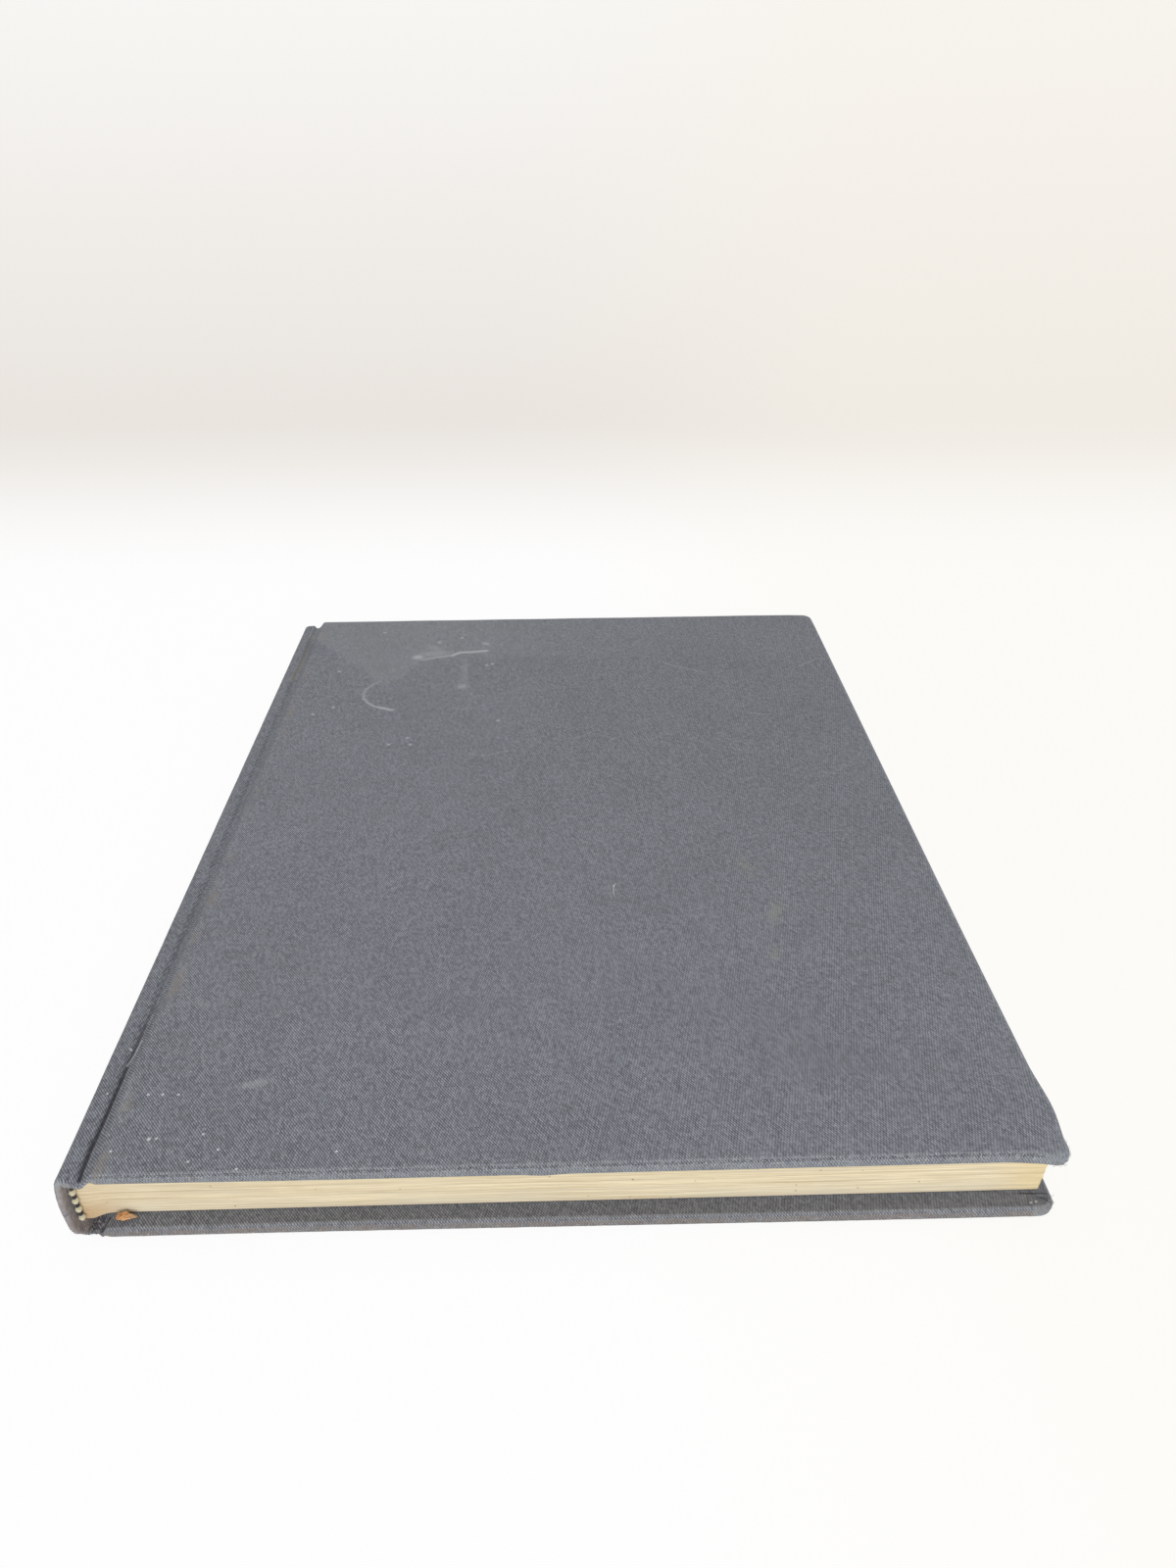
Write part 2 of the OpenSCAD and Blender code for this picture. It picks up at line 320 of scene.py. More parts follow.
class Tree:
    """Adds nodes to a node tree."""

    def __init__(self, tree):
        self.tree = tree

    def node(self, kind, settings=None, inputs=None):
        made = self.tree.nodes.new(kind)
        for name, setting in (settings or {}).items():
            setattr(made, name, setting)
        for name, given in (inputs or {}).items():
            given = given.socket if isinstance(given, Value) else given
            if isinstance(given, bpy.types.NodeSocket):
                self.tree.links.new(given, made.inputs[name])
            else:
                made.inputs[name].default_value = given
        return made

    def value(self, kind, settings=None, inputs=None, output=0):
        return Value(self, self.node(kind, settings, inputs).outputs[output])


def srgb(red, green, blue):
    """A colour read on a screen, 0 to 255, as a shader takes it."""
    shares = [part / 255 for part in (red, green, blue)]
    return tuple(s / 12.92 if s <= 0.04045 else ((s + 0.055) / 1.055) ** 2.4 for s in shares) + (1.0,)


class Paint(Tree):
    """A material that is being mixed."""

    def __init__(self, name):
        self.material = bpy.data.materials.new(name)
        self.material.use_nodes = True
        super().__init__(self.material.node_tree)
        self.tree.nodes.clear()

    def attribute(self, name, output="Vector"):
        return self.node("ShaderNodeAttribute", {"attribute_name": name}).outputs[output]

    def place(self):
        """Place on the piece, in millimetres."""
        metres = self.node("ShaderNodeTexCoord").outputs["Object"]
        return self.vector("SCALE", metres, scale=1 / MM)

    def vector(self, operation, first, second=(0, 0, 0), scale=None, output="Vector"):
        inputs = {0: first, 1: second}
        if scale is not None:
            inputs = {0: first, "Scale": scale}
        return self.node("ShaderNodeVectorMath", {"operation": operation}, inputs).outputs[output]

    def parts(self, vector):
        split = self.node("ShaderNodeSeparateXYZ", inputs={0: vector})
        return [Value(self, split.outputs[i]) for i in range(3)]

    def point(self, x, y, z=0.0):
        return self.node("ShaderNodeCombineXYZ", inputs={0: x, 1: y, 2: z}).outputs[0]

    def noise(self, vector, size, detail=2.0, roughness=0.5):
        """Cloudy noise with clouds of about that size."""
        inputs = {"Vector": vector, "Scale": 1 / size, "Detail": detail, "Roughness": roughness}
        return self.value("ShaderNodeTexNoise", inputs=inputs)

    def clouds(self, vector, size, detail=2.0, roughness=0.5):
        """Noise that is spread out to fill 0 to 1."""
        return self.noise(vector, size, detail, roughness).step(0.3, 0.7)

    def cells(self, vector, size, randomness=1.0):
        """Distance to the nearest cell's middle, in cells, and that cell's own random number."""
        made = self.node(
            "ShaderNodeTexVoronoi",
            {"voronoi_dimensions": "2D"},
            {"Vector": vector, "Scale": 1 / size, "Randomness": randomness},
        )
        return Value(self, made.outputs["Distance"]), self.parts(made.outputs["Color"])[0]

    def mix(self, share, first, second):
        settings = {"data_type": "RGBA", "clamp_factor": True}
        return self.node("ShaderNodeMix", settings, {0: share, 6: first, 7: second}).outputs[2]

    def coats(self, colour, *layers):
        """The colour under thin layers, each with its share and its own colour."""
        for share, shade in layers:
            colour = self.mix(share, colour, shade)
        return colour

    def brighten(self, colour, amount):
        """The colour times amount."""
        grey = self.point(amount, amount, amount)
        colour = colour[:3] if isinstance(colour, tuple) else colour
        return self.vector("MULTIPLY", colour, grey)

    def near_line(self, spot, start, end, width):
        """1 on a straight mark from start to end, and 0 from its width outwards."""
        along = np.subtract(end, start)
        from_start = self.vector("SUBTRACT", spot, (*start, 0))
        reach = self.vector("DOT_PRODUCT", from_start, tuple(along / along.dot(along)) + (0,), output="Value")
        share = self.value("ShaderNodeClamp", inputs={0: reach})
        nearest = self.vector("SCALE", (*along, 0), scale=share)
        away = self.vector("SUBTRACT", from_start, nearest)
        return Value(self, self.vector("LENGTH", away, output="Value")).step(width, width * 0.2)

    def near_path(self, spot, points, width):
        """1 on a mark that runs through these points."""
        return largest([self.near_line(spot, start, end, width) for start, end in zip(points, points[1:])])

    def near_spot(self, spot, centre, reach, turn=0.0, inner=0.3):
        """1 in the middle of an oval mark, and 0 from its rim outwards. reach is half its two widths."""
        mapped = self.node(
            "ShaderNodeMapping",
            {"vector_type": "TEXTURE"},
            {0: spot, 1: (*centre, 0), 2: (0, 0, math.radians(turn)), 3: (*reach, 1)},
        ).outputs[0]
        return Value(self, self.vector("LENGTH", mapped, output="Value")).step(1, inner)

    def near_spots(self, spot, centres, reach):
        """1 in the middle of each of these small marks."""
        return largest([self.near_spot(spot, centre, reach) for centre in centres])

    def near_ovals(self, spot, ovals):
        """The strongest of these marks. An oval is its centre, reach, turn, inner share and strength."""
        marks = []
        for centre, reach, turn, inner, strength in ovals:
            marks.append(self.near_spot(spot, centre, reach, turn, inner) * strength)
        return largest(marks)

    def bump(self, height, distance, strength=1.0):
        """A normal from a height that runs from 0 to 1 over that distance in millimetres."""
        inputs = {"Height": height, "Distance": distance * MM, "Strength": strength}
        return self.node("ShaderNodeBump", inputs=inputs).outputs[0]

    def finish(self, colour, roughness, normal=None, specular=0.5, sheen=0.0):
        inputs = {
            "Base Color": colour,
            "Roughness": roughness,
            "Specular IOR Level": specular,
            "Sheen Weight": sheen,
            "Sheen Roughness": 0.5,
        }
        if normal is not None:
            inputs["Normal"] = normal
        shader = self.node("ShaderNodeBsdfPrincipled", inputs=inputs)
        self.node("ShaderNodeOutputMaterial", inputs={0: shader.outputs[0]})
        return self.material


# Book cloth

CLOTH_DARK = srgb(68, 70, 78)
CLOTH_LIGHT = srgb(156, 159, 167)
WORN_THREAD = srgb(150, 157, 162)
TAN_THREAD = srgb(136, 124, 116)
RIM_BROWN = srgb(128, 118, 110)
RIM_PINK = srgb(168, 155, 150)
CREASE_SHADE = srgb(58, 58, 66)
CHALK = srgb(178, 180, 183)
SPECK_WHITE = srgb(214, 219, 224)
BARE_WHITE = srgb(214, 214, 214)
HAZE_GREY = srgb(134, 139, 138)
HAZE_BLUE = srgb(84, 88, 102)
STAIN_OLIVE = srgb(140, 142, 124)
SLIT_SHADE = srgb(34, 33, 38)
CRACK_BLACK = srgb(34, 33, 40)
FOLD_SHADE = srgb(52, 48, 56)
GROOVE_SHADE_AND_DUST = srgb(54, 53, 60)
STRIP_TAN = srgb(136, 132, 120)
RUB_BROWN = srgb(132, 124, 112)
RIM_RIB_PITCH = 0.7
RIB_ANGLE = math.radians(-50)
RIB_PITCH = 0.56
FLOAT_LENGTH = 0.85

# Marks on the front cover, as (x, distance from the tail edge)
ARC_CENTRE = (53.0, 238.5)
ARC_REACH = (16.0, 14.5)
ARC_TOP = 251.0
ARC_SCRATCH = [
    (ARC_CENTRE[0] + ARC_REACH[0] * math.cos(angle), ARC_CENTRE[1] + ARC_REACH[1] * math.sin(angle))
    for angle in np.radians(np.linspace(132, 262, 9))
]
SHORT_SCRATCH = [(45.0, 226.2), (50.0, 224.0)]
SCUFF_FOOT = [(58.0, 269.6), (63.7, 271.6), (67.0, 272.6), (70.9, 273.3)]
SCUFF_STREAK = [(70.9, 273.5), (73.7, 276.2), (80.3, 276.7), (85.3, 277.6)]
SCUFF_DRAG = [(76.5, 268.0), (77.7, 246.0)]
CRACK = [(5.2, 1.0), (5.0, 8.0), (5.15, 20.0), (5.1, 66.0)]
TAN_STRIP = [(4.2, 254.5), (4.9, 270.0), (5.0, 285.0), (4.5, 300.0)]
THIN_SCRATCHES = [
    [(161.8, 262.9), (171.3, 256.8), (178.8, 252.8)],
    [(84.3, 187.9), (89.3, 186.5), (97.4, 189.9)],
    [(219.2, 256.9), (228.0, 263.3)],
    [(191.7, 216.6), (198.5, 214.7)],
]
HAIR = [(6.0, 45.4), (5.7, 40.5), (5.0, 36.4)]
LARGE_WHITE_SPOT = (18.8, 10.7)
WHITE_SPOTS = [
    (20.5, 10.8), (31.3, 11.8), (14.4, 24.6), (18.0, 24.5), (21.9, 24.4), (3.5, 26.2),
    (4.4, 41.6), (29.9, 3.8), (41.6, 1.4), (36.0, 7.1), (63.9, 5.7), (10.9, 7.4),
]
LARGE_FAR_SPOT = (63.8, 287.1)
FAR_SPOTS = [
    (73.6, 291.6), (88.4, 264.2), (86.2, 263.0), (38.1, 298.5), (23.8, 259.3), (26.5, 226.9),
    (19.4, 221.2), (60.6, 195.9), (59.0, 201.1), (52.5, 196.2), (93.0, 213.6),
]

# Oval marks there: centre, half widths, turn in degrees, share that is full, strength
SCUFFS = [
    ((55.8, 272.2), (4.0, 3.6), 25, 0.1, 1.0),
    ((63.0, 275.5), (9.5, 3.6), 8, 0.3, 0.42),
    ((62.5, 281.0), (7.5, 3.2), -45, 0.2, 0.25),
    ((77.0, 243.6), (3.8, 4.2), 0, 0.1, 0.55),
    ((84.6, 285.0), (3.2, 2.0), -40, 0.2, 0.65),
    ((40.0, 27.4), (6.5, 1.9), 16, 0.0, 0.5),
    ((19.6, 56.8), (5.0, 1.8), -32, 0.0, 0.225),
    ((9.0, 24.0), (2.2, 16.0), 6, 0.0, 0.15),
]
GREEN_STAINS = [
    ((176.5, 114.5), (4.0, 8.0), 12, 0.4, 1.0),
    ((181.5, 92.0), (3.5, 10.0), -10, 0.4, 1.0),
    ((178.3, 72.0), (3.0, 3.5), 0, 0.4, 1.0),
]

# The haze on the far half lies past a slanting line, and above a foot that climbs to its own height
HAZE_SLOPE = 1.31
HAZE_LINE = 147.0
HAZE_FOOT = (45.0, 86.0)
HAZE_FOOT_SLOPE = 2.0
HAZE_FOOT_TOP = 114.0

# Slits in the back cover, painted as shade in its folds: two ends and a width
SLITS = [
    ((228.2, 3.7), (234.6, 3.4), 0.34),
    ((232.9, 2.2), (234.5, 0.4), 0.38),
    ((7.6, 3.6), (6.3, -0.2), 0.5),
]
CORNER_SPECKS = [(229.9, 0.9), (231.2, 1.1)]

# Bands of colour along an edge: start and end round its rim, colour, strength
# On the front edge the pale chalk band on the ridge is worn threads with a painted highlight, and the dark
# crease band under it is painted shade.
FRONT_BANDS = [
    (0.06, 0.14, CHALK, 0.22),
    (0.24, 0.34, CREASE_SHADE, 0.34),
    (0.42, 0.8, WORN_THREAD, 0.22),
    (0.95, 1.2, RIM_BROWN, 0.6),
]
BACK_BANDS = [(0.15, 0.6, RIM_BROWN, 0.65), (0.8, 0.94, CHALK, 0.22)]
SPINE_BANDS = [(0.45, 1.2, RIM_PINK, 0.6)]


def weave(paint, flat):
    """Height of the twill's floats from 0 to 1, and a random number for each float."""
    x, y, _ = paint.parts(flat)
    across = (x * -math.sin(RIB_ANGLE) + y * math.cos(RIB_ANGLE)) / RIB_PITCH
    along = (x * math.cos(RIB_ANGLE) + y * math.sin(RIB_ANGLE)) / FLOAT_LENGTH + across * 0.5
    distance, number = paint.cells(paint.point(across, along), 1.0, 0.22)
    floats = distance.step(0.6, 0.14)
    rib = (across * TAU).sine() * 0.5 + 0.5
    streak = paint.noise(paint.point(across * 0.8, along * 0.35), 1.0, 2).step(0.34, 0.66)
    return floats * 0.48 + rib * 0.38 + streak * 0.14, number


def cloth_colour(paint, flat, height, number):
    """The plain cloth, with its uneven dye, its thicker threads and the dust in it, and painted shade that
    makes its far right part darker.
    """
    x, y, _ = paint.parts(flat)
    clouds = paint.clouds(flat, 45, 3)
    patches = paint.clouds(flat, 9, 4, 0.6)
    warp = paint.clouds(paint.point(x * 1.2, y * 0.1), 1.0, 2)
    weft = paint.clouds(paint.point(x * 0.3, y * 1.3), 1.0, 2)
    slub = paint.clouds(flat, 1.6, 2, 0.6)
    shade = 0.828 + clouds * 0.06 + patches * 0.05 + warp * 0.05 + weft * 0.04 + slub * 0.05
    # Painted shade: the cloth is made darker towards its far right part, where less light falls.
    shade = shade - x.step(20, 200) * y.step(-110, 60) * 0.075
    thread = paint.mix(height * 0.96 + number * 0.3 - 0.17, CLOTH_DARK, CLOTH_LIGHT)
    dust_distance, dust_number = paint.cells(flat, 2.6, 1.0)
    dust = dust_distance.step(0.09, 0.03) * dust_number.step(0.62, 0.8)
    return paint.mix(dust * 0.6, paint.brighten(thread, shade), CHALK)


def rim_colour(paint, colour, flat, height, bands):
    """Bands of colour that run along the edge: its ridge, the fold under it and its dirty side. On the front
    edge the ridge's pale band is worn threads with a painted highlight, and the fold's dark band is painted
    shade.
    """
    x, y, rim = paint.parts(flat)
    patch = paint.noise(flat, 5, 3, 0.6).step(0.3, 0.65)
    ribs = ((x + y * 0.3) * (TAU / RIM_RIB_PITCH)).sine() * 0.5 + 0.5
    for start, end, shade, share in bands:
        band = rim.step(start - 0.08, start) * rim.step(end + 0.08, end)
        threads = paint.brighten(shade, 0.62 + height * 0.44 + ribs * 0.32)
        colour = paint.mix(band * (0.4 + patch * 0.6) * share, colour, threads)
    return colour


def worn_colour(paint, colour, height, wear, flat):
    """Bare, pale threads where the wear is, and brownish ones round them."""
    grain = paint.noise(flat, 0.7, 3, 0.7)
    rubbed = (wear + grain * 0.55 - 0.3 + height * 0.25).step(0.35, 0.95)
    tan = paint.noise(flat, 3.0, 2).step(0.45, 0.65)
    thread = paint.mix(tan * 0.75, WORN_THREAD, TAN_THREAD)
    return paint.mix(rubbed * 0.7, colour, thread)


def haze(paint, colour, flat, blotch):
    """A pale bloom on the far half of the cover, and the bluer cloth beside it."""
    x, y, _ = paint.parts(flat)
    slant = y + x * HAZE_SLOPE
    foot = ((x - HAZE_FOOT[0]) * HAZE_FOOT_SLOPE + HAZE_FOOT[1]).smaller(HAZE_FOOT_TOP)
    bloom = slant.step(HAZE_LINE - 3, HAZE_LINE + 4) * (y - foot).step(-4, 5)
    bloom = bloom * (1 - x.step(40, 190) * 0.85)
    bluer = slant.step(HAZE_LINE, HAZE_LINE - 4) * y.step(112, 134)
    return paint.coats(colour, (bloom * (0.16 + blotch * 0.26), HAZE_GREY), (bluer * 0.3, HAZE_BLUE))


def scuffs_and_scratches(paint, colour, spot, blotch, fine):
    """Chalky scuffs, thin scratches and the small spots of the far half."""
    scuff = largest([
        paint.near_ovals(spot, SCUFFS),
        paint.near_path(spot, SCUFF_DRAG, 2.4) * 0.2,
        paint.near_path(spot, SCUFF_FOOT, 1.7) * 0.6,
        paint.near_path(spot, SCUFF_STREAK, 1.7),
    ])
    tail = paint.parts(spot)[1]
    arc = paint.near_path(spot, ARC_SCRATCH, 1.0) * (0.35 + (ARC_TOP - tail).step(4, 26) * 0.5)
    scratch = arc.larger(paint.near_path(spot, SHORT_SCRATCH, 1.4))
    for points in THIN_SCRATCHES:
        scratch = scratch.larger(paint.near_path(spot, points, 0.8) * 0.3)
    dots = largest([
        paint.near_spot(spot, LARGE_FAR_SPOT, (1.3, 1.3)),
        paint.near_spots(spot, FAR_SPOTS, (1.1, 1.2)),
        paint.near_path(spot, HAIR, 0.35),
    ])
    rub = largest([scuff * (0.35 + fine + blotch * 0.4), scratch * (0.5 + fine), dots * 0.9])
    return paint.mix(rub * 0.62, colour, CHALK)


def specks_and_stains(paint, colour, spot, blotch, fine):
    """White specks near the tail edge, and three faint green stains."""
    specks = paint.near_spot(spot, LARGE_WHITE_SPOT, (0.7, 0.7))
    specks = specks.larger(paint.near_spots(spot, WHITE_SPOTS, (0.5, 0.5)))
    stain = paint.near_ovals(spot, GREEN_STAINS) * blotch.step(0.42, 0.6)
    return paint.coats(colour, (specks * (0.4 + fine * 0.6), SPECK_WHITE), (stain * 0.3, STAIN_OLIVE))


def cover_marks(paint, colour, flat):
    """Everything that has marked the front cover."""
    spot = paint.vector("ADD", flat, (0, HALF_D, 0))
    fine = paint.noise(flat, 0.5, 3, 0.7)
    blotch = paint.noise(flat, 4.0, 3, 0.6)
    colour = haze(paint, colour, flat, blotch)
    colour = scuffs_and_scratches(paint, colour, spot, blotch, fine)
    return specks_and_stains(paint, colour, spot, blotch, fine)


def old_folds(paint, colour):
    """Painted shade in the slits where the cloth of the back cover folds at its corner and joint, painted
    shade and painted highlights on the crumpled cloth at the joint's tail, and two bare specks.
    """
    x, y, z = paint.parts(paint.place())
    tail = y + HALF_D
    spot = paint.point(x - SHOULDER_X, tail, 0.0)
    inside = z.step(0.9, 1.6) * z.step(4.2, 3.8)
    # The slits are painted shade: dark lines in the folds and in the gap at the board's end.
    for start, end, width in SLITS:
        colour = paint.mix(paint.near_line(spot, start, end, width) * inside * 0.75, colour, SLIT_SHADE)
    grain = paint.noise(spot, 1.1, 3, 0.7)
    # Painted shade and painted highlights on the crumpled cloth at the joint's tail: dark patches for its
    # shaded folds, pink ones for the folds that catch the light.
    crumple_light_and_shade = (x - SHOULDER_X).step(7.0, 6.3) * tail.step(7, 3.5) * z.step(8, 5)
    specks = paint.near_spots(spot, CORNER_SPECKS, (0.45, 0.4)) * inside
    return paint.coats(
        colour,
        (crumple_light_and_shade * grain.step(0.62, 0.45) * 0.75, FOLD_SHADE),
        (crumple_light_and_shade * grain.step(0.56, 0.66) * 0.6, RIM_PINK),
        (specks * 0.9, BARE_WHITE),
    )


def joint_marks(paint, colour, flat):
    """Painted shade and dust in the groove, a crack there, and the brown rubbing beside it."""
    x, y, _ = paint.parts(flat)
    spot = paint.vector("ADD", flat, (0, HALF_D, 0))
    patch = paint.noise(flat, 12, 3, 0.6)
    grain = paint.noise(flat, 1.2, 3, 0.7)
    # Painted shade and dust in the groove: darker there, most towards the tail.
    groove_shade_and_dust = x.step(4.7, 5.0) * x.step(5.8, 5.3) * (0.12 + y.step(10, -130) * 0.88)
    crack = paint.near_path(spot, CRACK, 0.7) * (0.45 + grain) * y.step(-90, -130)
    tan = paint.near_path(spot, TAN_STRIP, 1.6) * (0.25 + patch * 0.4)
    brown = x.step(8.2, 9.2) * x.step(13, 9.6) * patch.step(0.5, 0.62)
    return paint.coats(
        colour,
        (groove_shade_and_dust * 0.45, GROOVE_SHADE_AND_DUST),
        (crack * 0.9, CRACK_BLACK),
        (tan, STRIP_TAN),
        (brown * 0.45, RUB_BROWN),
    )


def book_cloth(name, bands, marks=False):
    paint = Paint(name)
    flat = paint.attribute("flat")
    wear = Value(paint, paint.attribute("wear", "Fac"))
    height, number = weave(paint, flat)
    colour = cloth_colour(paint, flat, height, number)
    if marks:
        colour = joint_marks(paint, colour, flat)
        colour = cover_marks(paint, colour, flat)
    else:
        colour = old_folds(paint, colour)
    colour = rim_colour(paint, colour, flat, height, bands)
    colour = worn_colour(paint, colour, height, wear, flat)
    fuzz = paint.noise(flat, 0.18, 2, 0.6)
    normal = paint.bump(height * 0.8 + fuzz * 0.3, 0.12, 0.8)
    return paint.finish(colour, 0.95 - height * 0.1, normal, specular=0.25, sheen=0.06)


# Paper, board and glue

LEAF_DEEP = srgb(208, 191, 156)
LEAF_PALE = srgb(249, 236, 205)
LEAF_GAP_SHADE = srgb(192, 172, 138)
LEAF_GREY = srgb(206, 196, 176)
LEAF_DUST = srgb(214, 208, 190)
LEAF_SHADE_TAN = srgb(196, 160, 116)
LEAF_YELLOW = srgb(232, 204, 140)
LEAF_SPECK = srgb(120, 86, 54)
SHEET_BROWN = srgb(196, 168, 122)
FOX_BROWN = srgb(176, 130, 84)
MULL_BROWN = srgb(186, 164, 122)
MULL_CREAM = srgb(226, 216, 192)
MULL_GLUE = srgb(196, 160, 104)
BOARD_BROWN = srgb(122, 104, 80)
BOARD_PALE = srgb(178, 158, 128)
BOARD_LAYER = srgb(110, 96, 80)
GLUE_AMBER = srgb(204, 146, 94)
GLUE_PALE = srgb(224, 176, 128)
GLUE_RIM = srgb(176, 150, 122)
GLUE_BURNT = srgb(150, 106, 72)
MULL_PITCH = 1.1
TWIST_PITCH = 0.28


def page_edges():
    """Cut edges of the leaves: one line for each, tinted by section, with dust low down, painted shade in the
    gaps between the leaves, and painted shade beside the endbands.
    """
    paint = Paint("page_edges")
    spot = paint.place()
    x, y, z = paint.parts(spot)
    around, _, row = paint.parts(paint.attribute("flat"))
    lines = paint.noise(paint.point(around * 0.012, 0.0, row * 9.0), 1.0, 2, 0.6)
    fine = paint.noise(paint.point(around * 0.08, 0.0, row * 24.0), 1.0, 2, 0.6)
    streak = paint.noise(paint.point(around * 0.02, 3.0, row * 2.2), 1.0, 3, 0.55)
    low = z.step(9.5, 4.5)
    # Painted shade: the leaf ends next to the spine are tan, as in the shade beside the endbands, deeper low
    # down.
    spine_end_shade = x.step(SHOULDER_X + 16, SHOULDER_X + 1.5)
    corner = x.step(SHOULDER_X + PAGE_X1 - 14, SHOULDER_X + PAGE_X1)
    speck_distance, speck_number = paint.cells(paint.point(x + y, z * 1.4), 5.0)
    specks = speck_distance.step(0.06, 0.03) * speck_number.step(0.8, 0.9)
    colour = paint.coats(
        paint.mix(lines.step(0.34, 0.58), LEAF_DEEP, LEAF_PALE),
        # Painted shade in the gaps between the leaves.
        (fine.step(0.58, 0.42) * 0.4, LEAF_GAP_SHADE),
        (streak.step(0.52, 0.62) * 0.5, LEAF_GREY),
        (low * paint.clouds(spot, 30, 3) * 0.45, LEAF_DUST),
        (spine_end_shade * (0.25 + low * 0.5), LEAF_SHADE_TAN),
        (corner * 0.35, LEAF_YELLOW),
        (specks * 0.7, LEAF_SPECK),
    )
    normal = paint.bump(lines * 0.6 + fine * 0.4, 0.06, 0.6)
    return paint.finish(colour, 0.9, normal, specular=0.2)


def paper(name, light, dark, speckle, sheet):
    """Plain paper with clouds, fine fibres and browned edges. A sheet knows its place when it turns."""
    paint = Paint(name)
    spot = paint.attribute("flat") if sheet else paint.place()
    x, y, _ = paint.parts(spot)
    clouds = paint.noise(spot, 40, 4, 0.55)
    fibres = paint.noise(spot, 0.45, 3, 0.7)
    browned = largest([(abs(y) - HALF_PAGE).step(-16, 0), (x - PAGE_X1).step(-18, 0), x.step(22, 6)])
    colour = paint.mix(clouds * 0.5 + fibres * speckle, light, dark)
    if sheet:
        colour = paint.mix(browned * 0.4, colour, SHEET_BROWN)
    fox_distance, fox_number = paint.cells(spot, 17)
    fox = fox_distance.step(0.1, 0.02) * fox_number.step(0.8, 0.95)
    colour = paint.mix(fox * 0.3, colour, FOX_BROWN)
    normal = paint.bump(fibres * 0.6 + clouds * 0.4, 0.05, 0.5)
    return paint.finish(colour, 0.88, normal, specular=0.25)


def open_weave():
    """Starched open cloth: square threads with glue between them."""
    paint = Paint("open_weave")
    spot = paint.place()
    x, y, z = paint.parts(spot)
    warp = ((x + z) * (TAU / MULL_PITCH)).sine().step(-0.2, 0.8)
    weft = (y * (TAU / MULL_PITCH)).sine().step(-0.2, 0.8)
    threads = warp.larger(weft)
    colour = paint.mix(threads, MULL_BROWN, MULL_CREAM)
    colour = paint.mix(paint.noise(spot, 14, 3) * 0.3, colour, MULL_GLUE)
    return paint.finish(colour, 0.85, paint.bump(threads, 0.12), specular=0.3)


def mill_board():
    """Grey-brown board with short fibres and layers along its edges."""
    paint = Paint("mill_board")
    spot = paint.place()
    x, y, z = paint.parts(spot)
    fibres = paint.noise(spot, 0.6, 4, 0.7)
    layers = paint.noise(paint.point(x * 0.02, y * 0.02, z * 5.0), 1.0, 2)
    colour = paint.mix(layers * 0.4, paint.mix(fibres, BOARD_BROWN, BOARD_PALE), BOARD_LAYER)
    return paint.finish(colour, 0.92, paint.bump(fibres, 0.15), specular=0.2)


def wound_thread(name, light, dark):
    """Cotton thread, with its twist round the cord."""
    paint = Paint(name)
    spot = paint.place()
    x, y, z = paint.parts(spot)
    twist = ((x + y * 1.3 + z * 0.8) * (TAU / TWIST_PITCH)).sine() * 0.5 + 0.5
    soil = paint.noise(spot, 1.4, 3, 0.6)
    colour = paint.mix(twist * 0.5 + soil * 0.5, dark, light)
    return paint.finish(colour, 0.85, paint.bump(twist, 0.04), specular=0.3, sheen=0.1)


def dried_glue():
    """Brittle amber glue, orange in its thick middle and dusty at its rim."""
    paint = Paint("dried_glue")
    spot = paint.place()
    wear = Value(paint, paint.attribute("wear", "Fac"))
    grain = paint.noise(spot, 0.5, 4, 0.7)
    lumps = paint.noise(spot, 1.6, 3, 0.6)
    colour = paint.mix(lumps.step(0.35, 0.65), GLUE_AMBER, GLUE_PALE)
    colour = paint.mix(wear * 0.85 + grain * 0.3 - 0.15, colour, GLUE_RIM)
    colour = paint.mix(grain.step(0.6, 0.75) * 0.35, colour, GLUE_BURNT)
    normal = paint.bump(grain * 0.7 + lumps * 0.3, 0.5)
    return paint.finish(colour, 0.6 + grain * 0.3, normal, specular=0.3)


def stray_thread(name, colour_a, colour_b):
    paint = Paint(name)
    spot = paint.place()
    shade = paint.noise(spot, 0.8, 2)
    return paint.finish(paint.mix(shade, colour_a, colour_b), 0.9, specular=0.2, sheen=0.15)


front_cloth = book_cloth("front_cloth", FRONT_BANDS, marks=True)
back_cloth = book_cloth("back_cloth", BACK_BANDS)
spine_cloth = book_cloth("spine_cloth", SPINE_BANDS)
page_edge = page_edges()
endpaper = paper("endpaper", srgb(236, 226, 204), srgb(222, 208, 178), 0.3, True)
kraft = paper("kraft_paper", srgb(176, 142, 98), srgb(140, 108, 72), 0.7, False)
mull = open_weave()
board = mill_board()
cream_thread = wound_thread("cream_thread", srgb(238, 232, 206), srgb(206, 196, 160))
dark_thread = wound_thread("dark_thread", srgb(86, 82, 84), srgb(48, 46, 52))
glue = dried_glue()
pale_lint = stray_thread("pale_lint", srgb(214, 214, 208), srgb(180, 184, 186))
frayed_thread = stray_thread("frayed_thread", srgb(150, 154, 160), srgb(108, 108, 116))


# Covers


def joint_depth(x):
    """How deep the cloth's outer face lies below the outside of the cover, from shoulder to board."""
    shoulder = SHOULDER_DROP + (GROOVE_DEPTH - SHOULDER_DROP) * rise(x, 3.9, 1.2)
    board_side = GROOVE_DEPTH * (1 - rise(x, GROOVE_MID, 3.1))
    return np.where(x < GROOVE_MID, shoulder, board_side)


def inner_depth(x):
    """How deep the turned-in cloth lies."""
    return np.minimum(COVER_T, np.where(x < GROOVE_MID, joint_depth(x) + 2 * CLOTH_T, COVER_T))


